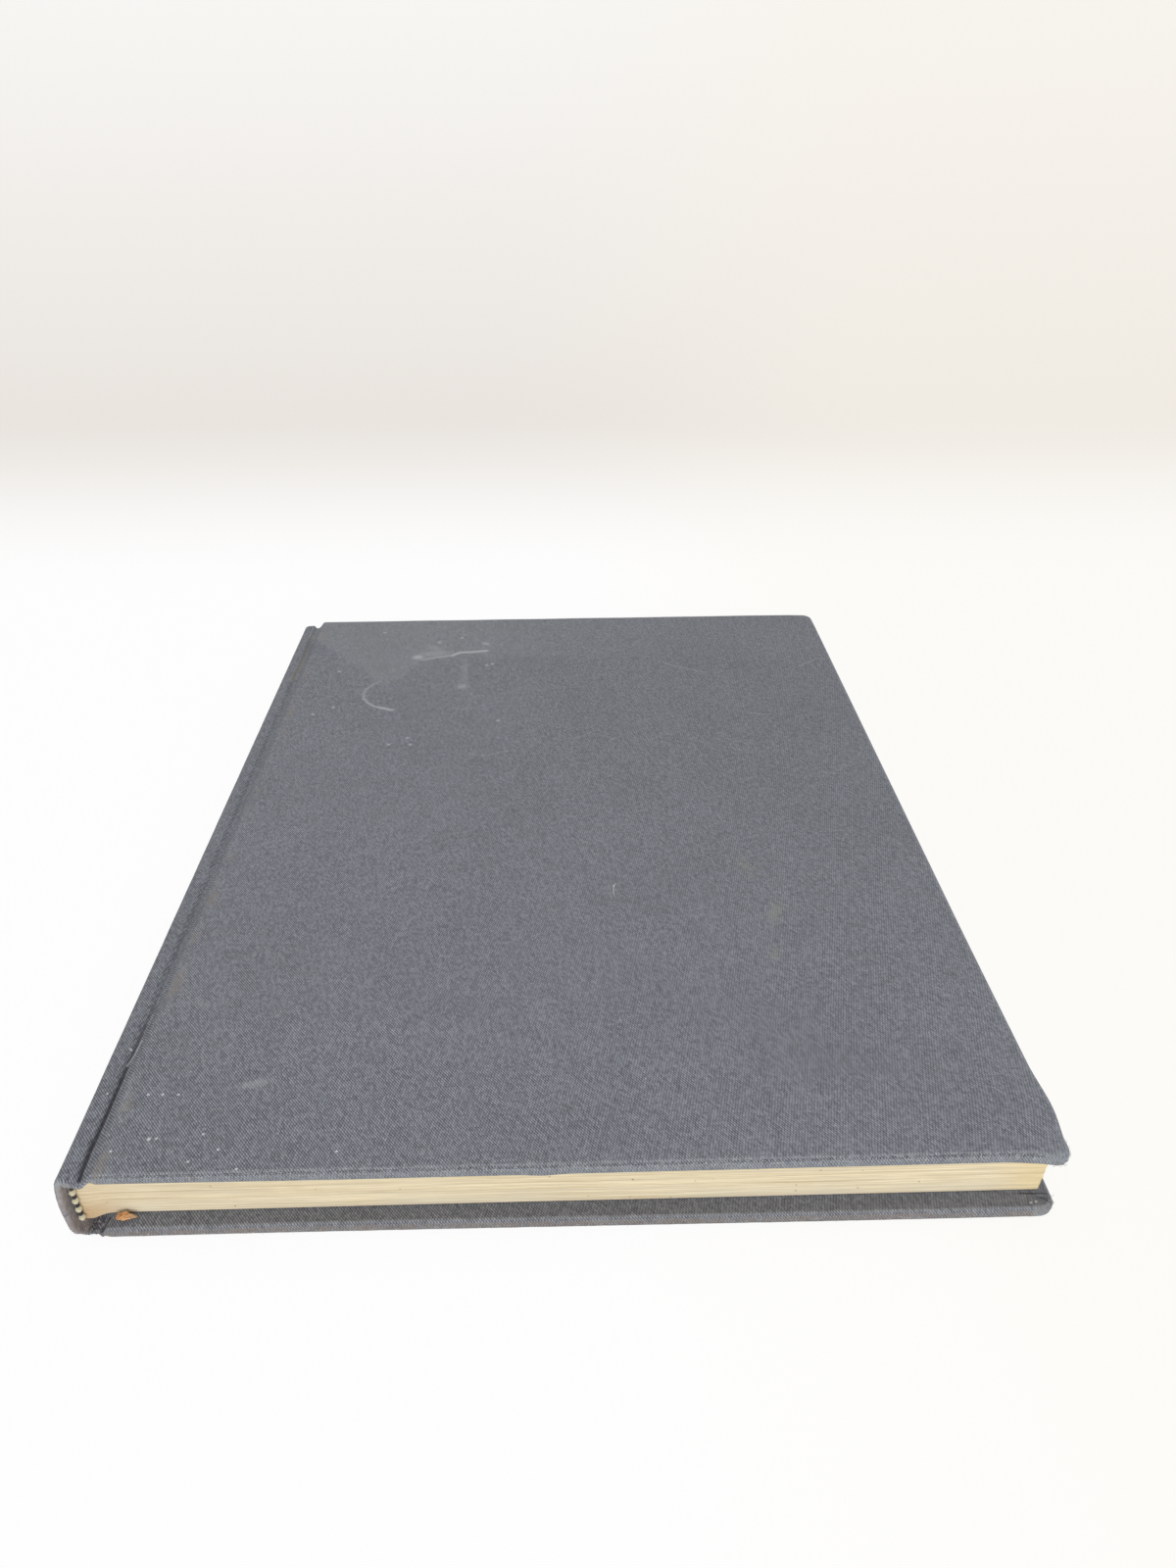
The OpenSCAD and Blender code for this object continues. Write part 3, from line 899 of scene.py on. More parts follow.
JOINT_XS = np.concatenate([
    np.linspace(SEAM_X, BEND_START - 0.1, 9),
    np.linspace(BEND_START, BEND_END, 14),
    np.linspace(BEND_END + 0.2, 9.4, 16),
])
BOARD_XS = np.linspace(10.5, COVER_X1 - CORNER_R, 112)


def rows_along(half):
    """Y of the grid's rows: closer together near the two ends."""
    end = half - CORNER_R
    fine = np.array([0, 1, 2, 3.2, 4.6, 6.2])
    middle = np.linspace(-end + 8, end - 8, 146)
    return np.concatenate([-end + fine, middle, (end - fine)[::-1]])


def rim_path(xs, ys, x1, half, corner_r):
    """Points round the tail edge, the fore-edge and the head edge, each with its outward direction."""
    arc = np.radians(np.linspace(-90, 0, 12))
    tail = [(x, -half, 0, -1) for x in xs]
    for out_x, out_y in zip(np.cos(arc), np.sin(arc)):
        tail.append((x1 - corner_r * (1 - out_x), -half + corner_r * (1 + out_y), out_x, out_y))
    head = [(x, -y, out_x, -out_y) for x, y, out_x, out_y in tail[::-1]]
    return np.array(tail + [(x1, y, 1, 0) for y in ys] + head)


def drawn_in(path, inset, x1, half, corner_r):
    """The path moved in by inset. Past the corner's radius it has sharp, mitred corners."""
    first = np.minimum(inset, corner_r)
    place = path[:, :2] - path[:, 2:] * first[:, None]
    place = place - path[:, 2:] * (inset - first)[:, None]
    deep = inset > corner_r
    place[:, 0] = np.where(deep, np.minimum(place[:, 0], x1 - inset), place[:, 0])
    place[:, 1] = np.where(deep, np.clip(place[:, 1], -(half - inset), half - inset), place[:, 1])
    return place


QUARTER = np.radians([0, 22.5, 45, 67.5, 90])
OUTER_INSETS = [CORNER_R, 3.2, 2.4, 1.7, 1.25]
INNER_INSETS = [1.25, 1.7, 2.4, 3.2, CORNER_R, 5.5, 7.5, 10, 12.5, TURN_IN]

# Place of each ring round the rim: 0 on the outer face, 2 on the inner face
RIM_SHARES = [0.0] * len(OUTER_INSETS) + [0.05, 0.15, 0.25, 0.35, 0.45] + [0.55, 0.65, 0.75, 0.85, 0.95]
RIM_SHARES += [1.1, 1.25, 1.4, 1.6, 1.8] + [2.0] * (len(INNER_INSETS) - 5)


def rim_rings(path):
    """For each ring round the rim: inset, depth, and length of cloth from the outer face's edge."""
    x = path[:, 0]
    outer = joint_depth(x)
    inner = inner_depth(x)
    radius = np.minimum(EDGE_R, 0.45 * (inner - outer))
    rings = []
    for inset in OUTER_INSETS:
        rings.append((np.full_like(x, inset), outer, -np.full_like(x, inset)))
    for angle in QUARTER:
        inset = radius * (1 - math.sin(angle))
        rings.append((inset, outer + radius * (1 - math.cos(angle)), radius * (angle - 1)))
    wall = inner - outer - 2 * radius
    for angle in QUARTER:
        depth = inner - radius * (1 - math.sin(angle))
        rings.append((radius * (1 - math.cos(angle)), depth, radius * (QUARTER[-1] - 1 + angle) + wall))
    run = radius * (2 * QUARTER[-1] - 2) + wall
    for inset in INNER_INSETS:
        rings.append((np.full_like(x, inset), inner, run + inset))
    return rings


def edge_wear(x, y, seed):
    """How rubbed the outer face is: at its edges, and most at its corners."""
    edge = np.minimum(COVER_X1 - x, HALF_D - np.abs(y))
    ends = 0.34 * np.exp(-np.maximum(edge, 0) / 1.4)
    corner = np.hypot(COVER_X1 - x, HALF_D - np.abs(y))
    return ends * (1 + 0.35 * waves(x + y, 23, seed)) + 0.5 * np.exp(-((corner / 7) ** 2))


JOINT_SHORT = 2.0


def joint_short(x, head):
    """How much shorter the cloth of the joint is than the board beside it, at the head."""
    return JOINT_SHORT * (1 - rise(x, 7, 1.5)) * near(head, 10)


# How deep the turned-in cloth of the front joint lies at its tail, where it is rolled
ROLL_XS = [SEAM_X, GROOVE_MID, 7.3, 8.0, 9.1]
ROLL_DEPTHS = [3.7, 3.7, 2.7, 2.2, 3.0]

# Dents of the front cover
CORNER_DENT = 1.2
CORNER_REACH = 16.0
CORNER_PUSH = 0.85
FAR_CORNER_DENT = 0.3

# Dents in its tail edge: x, half width, how far they reach in, depth
TAIL_DENT = (112.0, 6.0, 5.0, 0.35)
TAIL_NICK = (185.5, 5.0, 3.0, 0.12)

# Creases of the back cover: places along X and depths
JOINT_CREASE_X = 6.6
JOINT_CREASE = 0.7
JOINT_CRUMPLE = 0.8
JOINT_SAG_X = 6.0
CORNER_SLIT_X = 227.5
CORNER_FOLD_X = 235.0
CORNER_CREASE = 0.32
CORNER_PUFF = 0.3
NEAR_SLIP = 1.1
NEAR_SHIFT = 0.8


def corner_dent(x, y):
    """How far the near corner of the front cover is knocked down."""
    return CORNER_DENT * hump(np.hypot(x - COVER_X1, y + HALF_D) / CORNER_REACH)


def edge_dent(x, tail, mark):
    """How deep one of the dents in the tail edge is."""
    middle, half, reach, depth = mark
    return depth * hump((x - middle) / half) * hump(tail / reach)


def edge_roll(x, tail):
    """Where the turned-in cloth at the tail is rolled: past the joint, more and more."""
    return hump(tail / 3.6) * rise(x, 9, 60)


def edge_ripple(x, tail, seed):
    """Small waves of the cloth along the tail edge."""
    return waves(x, 9, seed) * np.exp(-tail / 2.5)


def front_bends(points):
    """Dents and bends of the front cover, as a change of depth and of place."""
    x, y, depth = points[..., 0], points[..., 1], points[..., 2]
    tail = y + HALF_D
    outer = joint_depth(x)
    share = smooth((depth - outer) / (inner_depth(x) - outer))
    roll = (np.interp(x, ROLL_XS, ROLL_DEPTHS) - inner_depth(x)) * smooth(1.25 - tail / 4)
    depth = depth + share * roll
    outside = smooth((COVER_T - depth) / COVER_T)
    dent = edge_dent(x, tail, TAIL_DENT)
    nick = edge_dent(x, tail, TAIL_NICK)
    moved = depth + corner_dent(x, y) + FAR_CORNER_DENT * hump(np.hypot(x - COVER_X1, HALF_D - y) / 12)
    moved = moved + 0.05 * waves(x, 60, 3) * waves(y, 90, 4) * rise(x, 12, 30)
    moved = moved + (nick - dent + 0.06 * edge_ripple(x, tail, 5)) * outside
    moved = moved + 0.5 * hump((x - 4.9) / 2.4) * near(tail, 5.5)
    moved = moved + 0.5 * (1 - outside) * edge_roll(x, tail)
    push = CORNER_PUSH * hump(np.hypot(x - COVER_X1, tail) / 6.5)
    bulge = rise(x, 200, 35) * (0.5 * near(tail, 90) + 0.9 * hump((tail - 14) / 15))
    return np.stack([x + push + bulge, y - dent - joint_short(x, HALF_D - y) - push, moved], -1)


def joint_crumple(x, tail):
    """How the cloth of the back joint is crumpled at its tail: one crease among small folds."""
    crease = JOINT_CREASE * hump((x - JOINT_CREASE_X) / 0.9) * near(tail, 7)
    folds = 0.35 * waves(x * 2.2 + tail, 4.2, 8) + 0.25 * waves(tail * 2 - x, 3.1, 9)
    return JOINT_CRUMPLE * smooth((8.2 - x) / 2.5) * near(tail, 9) * folds - crease


def corner_folds(x, tail):
    """The slit, the fold and the puffed cloth at the near corner of the back cover."""
    slit = hump((tail - 3.6) / 0.45) * rise(x, CORNER_SLIT_X, 1.5)
    fold = hump((tail - (CORNER_FOLD_X - x) * 1.45) / 0.6) * rise(x, CORNER_FOLD_X - 4, 2)
    puff = hump(np.hypot(x - CORNER_FOLD_X + 2, tail - 2.2) / 3.5)
    return CORNER_PUFF * puff - CORNER_CREASE * np.maximum(slit, fold)


def back_bends(points):
    """Dents and creases of the back cover, which the book rests on."""
    x, y, depth = points[..., 0], points[..., 1], points[..., 2]
    tail = y + HALF_D
    inside = smooth(depth / COVER_T)
    moved = depth + (joint_crumple(x, tail) + corner_folds(x, tail) + 0.3 * edge_roll(x, tail)) * inside
    sag = hump((x - JOINT_SAG_X) / 2.8) * near(tail, 7)
    moved = np.maximum(moved - sag + 0.04 * edge_ripple(x, tail, 6), 0.0)
    back = 0.5 * smooth((7.2 - x) / 4.0) * near(tail, 10)
    slip = NEAR_SLIP * rise(x, 20, 215) * near(tail, 200)
    side = NEAR_SHIFT * rise(x, 60, 170) * near(tail, 150)
    return np.stack([x + side, y + back - slip - joint_short(x, HALF_D - y), moved], -1)


def on_cover(x, y, depth, front):
    """Points at a depth below the outside of a cover, with that cover's dents and bends."""
    bends = front_bends if front else back_bends
    x, y, depth = np.moveaxis(bends(np.stack(np.broadcast_arrays(x, y, depth), -1)), -1, 0)
    return np.stack([x, y, BOOK_T - depth if front else depth], -1)


BOARD_GAP = 0.05


def board_slab(name, front):
    """Stiff board inside a cover, with the dents and bends of the cloth round it."""
    x1 = COVER_X1 - CLOTH_T - BOARD_GAP
    half = HALF_D - CLOTH_T - BOARD_GAP
    corner = CORNER_R - CLOTH_T
    top = CLOTH_T + BOARD_GAP
    bottom = COVER_T - CLOTH_T - BOARD_GAP
    xs = np.linspace(BOARD_X0 + 0.3, x1 - corner, 70)
    ys = np.linspace(corner - half, half - corner, 90)
    path = rim_path(xs, ys, x1, half, corner)
    rings = [(corner, top), (2.2, top), (0.9, top), (0.15, top + 0.4)]
    rings += [(inset, COVER_T - depth) for inset, depth in rings[::-1]]
    work = Patchwork()

    def add(x, y, depth):
        work.add(on_cover(x, y, depth, front))

    x, y = np.meshgrid(xs, ys)
    add(x, y, top)
    add(x, y, bottom)
    rims = [(drawn_in(path, np.full(len(path), inset), x1, half, corner), depth) for inset, depth in rings]
    places = np.array([place for place, _ in rims])
    depths = np.array([np.full(len(path), depth) for _, depth in rims])
    add(places[..., 0], places[..., 1], depths)

    # The long side beside the joint
    upper = [(place[0, 1], depth) for place, depth in rims[3:0:-1]]
    lower = [(place[0, 1], depth) for place, depth in rims[4:7]]
    walls = []
    for ends, depth in ((upper, top), (lower, bottom)):
        walls.append(ends + [(y, depth) for y in ys] + [(-y, end) for y, end in ends[::-1]])
    walls = np.array(walls)
    add(np.full(walls.shape[:2], xs[0]), walls[..., 0], walls[..., 1])
    return work.make(name, board, closed=True)


def cover_skin(name, front):
    """Cloth of one cover, from the spine's shoulder over the joint, round the board and in."""
    seed = 11 if front else 12
    xs = np.concatenate([JOINT_XS, BOARD_XS])
    ys = rows_along(HALF_D)
    work = Patchwork()

    def add(x, y, depth, flat_x, flat_y, wear, rim, flip):
        side = flat_x if front else 2 * SEAM_X - SPINE_GIRTH - flat_x
        flat = np.stack([side, flat_y, rim], -1)
        work.add(on_cover(x, y, depth, front), flat, wear, flip)

    x, y = np.meshgrid(xs, ys)
    add(x, y, joint_depth(x), x, y, edge_wear(x, y, seed), np.zeros_like(x), not front)

    path = rim_path(xs, ys, COVER_X1, HALF_D, CORNER_R)
    rings = []
    for ring, (inset, depth, run) in enumerate(rim_rings(path)):
        place = drawn_in(path, inset, COVER_X1, HALF_D, CORNER_R)
        flat = path[:, :2] + path[:, 2:] * run[:, None]
        wear = edge_wear(place[:, 0], place[:, 1], seed)
        wear = wear * (1 if ring < len(OUTER_INSETS) + 2 * len(QUARTER) else 0.5)
        rim = np.full_like(depth, RIM_SHARES[ring])
        rings.append((place[:, 0], place[:, 1], depth, flat[:, 0], flat[:, 1], wear, rim))
    add(*np.array(rings).swapaxes(0, 1), front)
    return work.make(name, front_cloth if front else back_cloth, CLOTH_T)


# Spine


def spine_profile():
    """Points down the back of the spine from the front seam to the back seam, with their outward
    directions and the length of cloth so far."""
    half = MID_Z - SHOULDER_DROP
    back_r = (half ** 2 + SPINE_BULGE ** 2) / (2 * SPINE_BULGE)
    back_cx = back_r - SPINE_BULGE

    def edge(r):
        cx = back_cx - math.sqrt((back_r - r) ** 2 - (half - r) ** 2)
        return cx, math.asin((half - r) / (back_r - r))

    upper_cx, upper = edge(UPPER_EDGE_R)
    lower_cx, lower = edge(LOWER_EDGE_R)
    top = BOOK_T - SHOULDER_DROP

    def arc(cx, cz, r, angles):
        return [(cx + r * math.cos(a), cz + r * math.sin(a), math.cos(a), math.sin(a)) for a in angles]

    points = [(x, top, 0, 1) for x in np.linspace(SEAM_X, upper_cx, 6)[:-1]]
    points += arc(upper_cx, top - UPPER_EDGE_R, UPPER_EDGE_R, np.linspace(math.pi / 2, math.pi - upper, 11))
    points += arc(back_cx, MID_Z, back_r, np.linspace(math.pi - upper, math.pi + lower, 40)[1:-1])
    low = SHOULDER_DROP + LOWER_EDGE_R
    points += arc(lower_cx, low, LOWER_EDGE_R, np.linspace(math.pi + lower, 1.5 * math.pi, 15))
    points.append((SEAM_X, SHOULDER_DROP, 0, -1))
    points = np.array(points)
    return points, run_along(points)


SPINE_POINTS, SPINE_RUN = spine_profile()
SPINE_GIRTH = SPINE_RUN[-1]
CAP_T = 1.6
CAP_DROOP = 0.35
CAP_SET_BACK = 0.6
CAP_RIB_PITCH = 0.9
SPINE_TURN_INSETS = [2.4, 4, 6, 9, 12, TURN_IN]


def spine_rows():
    """Along the spine: y, distance in from the outer face, and length along the cloth."""
    radius = CAP_T / 2
    tail = [(-HALF_D + inset, CAP_T, -HALF_D - inset) for inset in SPINE_TURN_INSETS[::-1]]
    for angle in np.linspace(0, math.pi, 11):
        y = -HALF_D + radius * (1 - math.sin(angle))
        tail.append((y, radius * (1 + math.cos(angle)), -HALF_D + radius * (angle - 2) / 2))
    middle = [(y, 0.0, y) for y in np.linspace(-HALF_D + 2, SPINE_HEAD - 2, 150)]
    head = [(-y - (HALF_D - SPINE_HEAD), depth, -flat) for y, depth, flat in tail[::-1]]
    return np.array(tail + middle + head)


def spine_wear(run, end):
    """How rubbed the spine is: at its two ends and along its two edges."""
    wear = 0.4 * np.exp(-end / 1.5) + 0.35 * np.exp(-end / 4) * hump((run - 4.0) / 3.5)
    return wear + 0.12 * hump((run - 3.0) / 3) + 0.10 * hump((SPINE_GIRTH - run - 4.5) / 4)


def spine_skin():
    """Cloth of the spine, rolled in round a card at the head and at the tail."""
    rows = spine_rows()
    y = rows[:, 0][:, None] + np.zeros(len(SPINE_POINTS))
    inset = rows[:, 1][:, None] + np.zeros(len(SPINE_POINTS))
    run = SPINE_RUN[None, :] + np.zeros(len(rows))[:, None]
    tail = y + HALF_D
    head = SPINE_HEAD - y
    end = np.minimum(tail, head)

    # The rolled-in cap thins out towards the two joints
    share = run / SPINE_GIRTH
    cap = smooth(share / 0.2) * smooth((1 - share) / 0.22)
    inset = inset * (0.5 + 0.5 * cap)

    # The worn tail cap stands back over the back cover
    low = SPINE_POINTS[:, 1][None, :] + np.zeros_like(run)
    droop = smooth((7.5 - low) / 5) * near(tail, 11)
    y = y - 0.15 * droop + CAP_SET_BACK * smooth((2.4 - low) / 1.2) * near(tail, 12)
    ribs = 0.07 * np.sin(run * TAU / CAP_RIB_PITCH) * np.exp(-end / 3.0)
    inset = inset - ribs + 0.03 * waves(y, 30, 21) * waves(run, 14, 22)
    inset = inset * (1 + 2.4 * near(run, 4.5) * smooth(1.25 - tail / 4))
    pressed = 0.35 * near(share, 0.12) * near(tail, 5)
    x = SPINE_POINTS[:, 0] - SPINE_POINTS[:, 2] * inset
    z = SPINE_POINTS[:, 1] - SPINE_POINTS[:, 3] * inset - pressed
    z = np.maximum(z - CAP_DROOP * droop, 0.1 + inset * 0.3)
    rim = smooth(rows[:, 1] / CAP_T * 2)[:, None] * smooth(1 - (end - 2.0) / 4)
    flat = np.stack([SEAM_X - run, rows[:, 2][:, None] + np.zeros_like(run), rim], -1)
    work = Patchwork()
    work.add(np.stack([x, y, z], -1), flat, spine_wear(run, end), flip=True)
    return work.make("spine_skin", spine_cloth, CLOTH_T)


# Text block


FAN_X0 = 2.8
FAN_X1 = 6.8
BACK_ROUND = 0.25
LEAVES_PER_SECTION = 9
LEAVES = SECTIONS * LEAVES_PER_SECTION


def seam_height(share, x):
    """Height of a leaf at x. share runs from 0 at the lowest leaf to 1 at the highest."""
    fan = 1 - rise(x, FAN_X0, FAN_X1 - FAN_X0)
    spread = (TEXT_Z - BLOCK_Z0) / (TEXT_T / 2)
    return MID_Z + (share - 0.5) * TEXT_T * (1 + spread * fan)


def leaf_lean(x):
    """How far the lowest leaf stands back from the highest one."""
    return 0.8 * rise(x, 3, 6) - 0.25 * rise(x, 60, 160)


LEAF_SPREAD = 1.4


def leaned(x, y, share):
    """Where a leaf's edge lies: the near corner is spread, and the lower leaves stand further back."""
    lean = (1 - share) * leaf_lean(x)
    spread = LEAF_SPREAD * smooth((x - 60) / 170) * smooth((-y - 20) / 130)
    return x + spread - lean * smooth((x - 150) / 80), y + lean * smooth((-y - 60) / 90)


def pressed_down(x, y, share):
    """How far the knocked corner of the front cover presses a leaf down."""
    return corner_dent(x, y) * share ** 2


FLYLEAF_X0 = 2.0


def flyleaf(name, share):
    """The loose leaf next to a cover, which lies along the outermost leaf of the block."""
    xs = np.concatenate([np.linspace(FLYLEAF_X0, 8, 16), np.linspace(10, PAGE_X1 - 0.1, 90)])
    x, y = np.meshgrid(xs, np.linspace(-HALF_PAGE + 0.1, HALF_PAGE - 0.1, 100))
    side = 1 if share > 0.5 else -1
    ripple = 0.04 * waves(x, 80, 70 + side) * smooth((x - 12) / 30) * waves(y, 60, 74 + side)
    z = seam_height(share, x) + side * (PAPER_T + 0.02 + np.clip(ripple, -0.02, 0.02))
    moved = np.stack([*leaned(x, y, share), z - pressed_down(x, y, share)], -1)
    work = Patchwork()
    work.add(moved, flip=side < 0)
    return work.make(name, endpaper, PAPER_T)


PASTEDOWN_T = 0.15

# How deep the pastedown lies where it crosses the joint
JOINT_SHEET_XS = [4.0, 4.4, 5.0, GROOVE_MID, 6.6, 8.0]
JOINT_SHEET_DEPTHS = [2.45, 2.6, 2.82, 3.06, 3.08, 3.08]


FRONT_SET_IN = 0.3
BACK_SET_IN = 2.7
TURN_X = COVER_X1 - TURN_IN
TURN_Y = HALF_D - TURN_IN
CLIMB = 1.5


def pastedown_grid(set_in):
    """X and Y of the sheet's points, closer together where it climbs over the mull and the turned cloth."""
    xs = np.concatenate([
        np.linspace(JOINT_SHEET_XS[0], 6.6, 14),
        np.linspace(7.2, MULL_X1 - 1, 14),
        np.linspace(MULL_X1, MULL_X1 + CLIMB, 5),
        np.linspace(36, TURN_X - 3, 40),
        np.linspace(TURN_X - CLIMB - 0.1, TURN_X - 0.1, 5),
        np.linspace(TURN_X + 1.5, PAGE_X1 - set_in, 8),
    ])
    end = np.concatenate([np.linspace(TURN_Y - 0.1, TURN_Y - CLIMB - 0.1, 5), np.linspace(MULL_HALF, 132, 4)])
    ys = np.concatenate([
        np.linspace(set_in - HALF_PAGE, -1 - TURN_Y, 8),
        -end,
        np.linspace(-126, 126, 50),
        end[::-1],
        np.linspace(TURN_Y + 1, HALF_PAGE - 0.3, 8),
    ])
    return np.meshgrid(xs, ys)


def pastedown_depth(x, y):
    """How deep the sheet lies below the outside of its cover."""
    past_turn = np.maximum(x - TURN_X, np.abs(y) - TURN_Y)
    on_turn = smooth((past_turn + CLIMB + 0.1) / CLIMB)
    on_mull = smooth((MULL_X1 + CLIMB - x) / CLIMB) * smooth((MULL_HALF + CLIMB - np.abs(y)) / CLIMB)
    climb = np.maximum((CLOTH_T + 0.01) * on_turn, MULL_T * on_mull)
    depth = COVER_T - CLOTH_T + PASTEDOWN_T + 0.02 + climb
    return np.where(x < JOINT_SHEET_XS[-1], np.interp(x, JOINT_SHEET_XS, JOINT_SHEET_DEPTHS), depth)


def pastedown(name, front):
    """Paper glued inside a cover, over the turned-in cloth and the mull, and on across the joint."""
    x, y = pastedown_grid(FRONT_SET_IN if front else BACK_SET_IN)
    work = Patchwork()
    work.add(on_cover(x, y, pastedown_depth(x, y), front), flip=front)
    return work.make(name, endpaper, PASTEDOWN_T)


def block_path():
    """Round the tail, the fore-edge and the head of the leaves, each point with its outward direction."""
    xs = np.concatenate([np.linspace(BLOCK_X0, 5.5, 15), np.linspace(7, PAGE_X1 - 1.5, 84), [PAGE_X1 - 0.4]])
    tail = [(x, -HALF_PAGE, 0, -1) for x in xs] + [(PAGE_X1, -HALF_PAGE, 0.7, -0.7)]
    fore = [(PAGE_X1, y, 1, 0) for y in np.linspace(-HALF_PAGE + 0.5, HALF_PAGE - 0.5, 104)]
    head = [(x, -y, out_x, -out_y) for x, y, out_x, out_y in tail[::-1]]
    return np.array(tail + fore + head), len(tail)


def leaf_inward(row, leaf, around):
    """How far each row of points lies in from the cut edge: gaps, seams and uneven leaves."""
    random = np.random.default_rng(41)
    section = leaf // LEAVES_PER_SECTION
    seam = (row % (2 * LEAVES_PER_SECTION) == 0) & (row > 0) & (row < row[-1])
    offset = random.normal(0, 0.045, LEAVES)[leaf] + random.normal(0, 0.05, SECTIONS)[section]
    depth = 0.10 * (1 - row % 2) + 0.30 * seam - offset
    drift = np.array([0.035 * waves(around, 70, 100 + i) for i in range(SECTIONS)])
    inward = np.clip(depth[:, None] + drift[section], -0.12, 0.5)
    inward[0] = inward[-1] = 0.02
    return inward


def leaf_block():
    """Sewn leaves: every leaf is a ridge round the three cut edges."""
    row = np.arange(LEAVES * 2 + 1)
    share = (row / row[-1])[:, None]
    leaf = np.minimum(row // 2, LEAVES - 1)
    path, count = block_path()
    around = run_along(path)
    inward = leaf_inward(row, leaf, around)
    x, y = leaned(path[:, 0] - path[:, 2] * inward, path[:, 1] - path[:, 3] * inward, share)
    x = np.maximum(x, BLOCK_X0 + BACK_ROUND * ((share - 0.5) * 2) ** 2)
    sway = 0.09 * waves(around, 60, 51) * np.sin(math.pi * share)
    z = seam_height(share, x) + sway - pressed_down(x, y, share)
    flat = np.stack(np.broadcast_arrays(around, 0.0, share * TEXT_T), -1)
    sides = np.stack([x, y, z], -1)
    work = Patchwork()
    work.add(sides, flat)

    # The top and bottom leaves, and the folds, each from the tail side to the head side
    for outermost, flip in ((0, True), (-1, False)):
        tail_side = sides[outermost, :count]
        head_side = sides[outermost, ::-1][:count]
        work.add(np.stack([tail_side, head_side]), flip=flip)
    work.add(np.stack([sides[:, -1], sides[:, 0]], 1), flat[:, [-1, 0]])
    return work.make("leaves", page_edge)


# How a piece is carried


def ride(piece, body, slot, *nodes):
    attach(piece, body)
    if nodes:
        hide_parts(*nodes)
    return piece


def bend(piece, body, z, slot, *nodes):
    """Bakes the piece's place into its mesh and hides the CAD nodes it stands in for."""
    start, end = in_frame([(BEND_START, 0, z), (BEND_END, 0, z)])
    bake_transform(piece)
    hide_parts(*nodes)
    return piece


# What is grown along a guide


class Growth(Tree):
    """A Geometry Nodes tree with named sizes, which grows a piece on a guide mesh."""

    def __init__(self, name, sizes):
        group = bpy.data.node_groups.new(name, "GeometryNodeTree")
        super().__init__(group)
        self.ids = {}
        self.add_input("Guide", "NodeSocketGeometry")
        for label, size in sizes.items():
            socket = self.add_input(label, "NodeSocketInt" if isinstance(size, int) else "NodeSocketFloat")
            socket.default_value = size
        self.add_input("Finish", "NodeSocketMaterial")
        group.interface.new_socket("Piece", in_out="OUTPUT", socket_type="NodeSocketGeometry")
        self.given = self.node("NodeGroupInput")

    def add_input(self, label, kind):
        socket = self.tree.interface.new_socket(label, in_out="INPUT", socket_type=kind)
        self.ids[label] = socket.identifier
        return socket

    def size(self, label):
        return Value(self, self.given.outputs[label])

    def tube(self, curve, radius, sides):
        """A thread of that radius along a curve."""
        ring = self.node("GeometryNodeCurvePrimitiveCircle", inputs={"Resolution": sides, "Radius": radius})
        inputs = {"Curve": curve, "Profile Curve": ring.outputs[0], "Fill Caps": True}
        made = self.node("GeometryNodeCurveToMesh", inputs=inputs)
        return self.node("GeometryNodeSetShadeSmooth", inputs={0: made.outputs[0]}).outputs[0]

    def end(self, instances):
        real = self.node("GeometryNodeRealizeInstances", inputs={0: instances})
        inputs = {"Geometry": real.outputs[0], "Material": self.given.outputs["Finish"]}
        painted = self.node("GeometryNodeSetMaterial", inputs=inputs)
        self.node("NodeGroupOutput", inputs={0: painted.outputs[0]})

    def grow(self, name, guide, material, sizes):
        piece = add_object(name, guide)
        modifier = piece.modifiers.new("growth", "NODES")
        modifier.node_group = self.tree
        for label, size in sizes.items():
            modifier[self.ids[label]] = size
        modifier[self.ids["Finish"]] = material
        settle(piece)
        return piece


def line_guide(name, points):
    """A guide mesh that is one line of edges."""
    mesh = bpy.data.meshes.new(name)
    edges = [(i, i + 1) for i in range(len(points) - 1)]
    mesh.from_pydata(in_frame(points).tolist(), edges, [])
    return mesh


BAND_TURNS = 46


def winding_growth():
    """Rings of thread round a core. Of each run of turns only some are kept, and they swell into a bead."""
    tree = Growth(
        "winding",
        {
            "Turns": BAND_TURNS,
            "Repeat": 9.0,
            "First": 0.0,
            "Last": 4.0,
            "Neck": 0.6,
            "Swell": 0.4,
            "Ring": 0.64 * MM,
            "Thread": 0.2 * MM,
        },
    )
    curve = tree.node("GeometryNodeMeshToCurve", inputs={0: tree.given.outputs["Guide"]})
    inputs = {"Curve": curve.outputs[0], "Count": tree.size("Turns")}
    points = tree.node("GeometryNodeCurveToPoints", {"mode": "COUNT"}, inputs)
    index = Value(tree, tree.node("GeometryNodeInputIndex").outputs[0])
    turn = index.rest(tree.size("Repeat"))
    kept = (turn + 0.5).above(tree.size("First")) * (tree.size("Last") + 0.5 - turn).above(0)
    middle = (tree.size("First") + tree.size("Last")) * 0.5
    half = (tree.size("Last") - tree.size("First")) * 0.5 + 0.5
    scale = tree.size("Neck") + tree.size("Swell") * (1 - abs(turn - middle) / half)
    inputs = {"Resolution": 18, "Radius": tree.size("Ring")}
    circle = tree.node("GeometryNodeCurvePrimitiveCircle", inputs=inputs)
    ring = tree.tube(circle.outputs[0], tree.size("Thread"), 6)
    rings = tree.node(
        "GeometryNodeInstanceOnPoints",
        inputs={"Points": points.outputs["Points"], "Selection": kept, "Instance": ring,
                "Rotation": points.outputs["Rotation"], "Scale": scale},
    )
    tree.end(rings.outputs[0])
    return tree


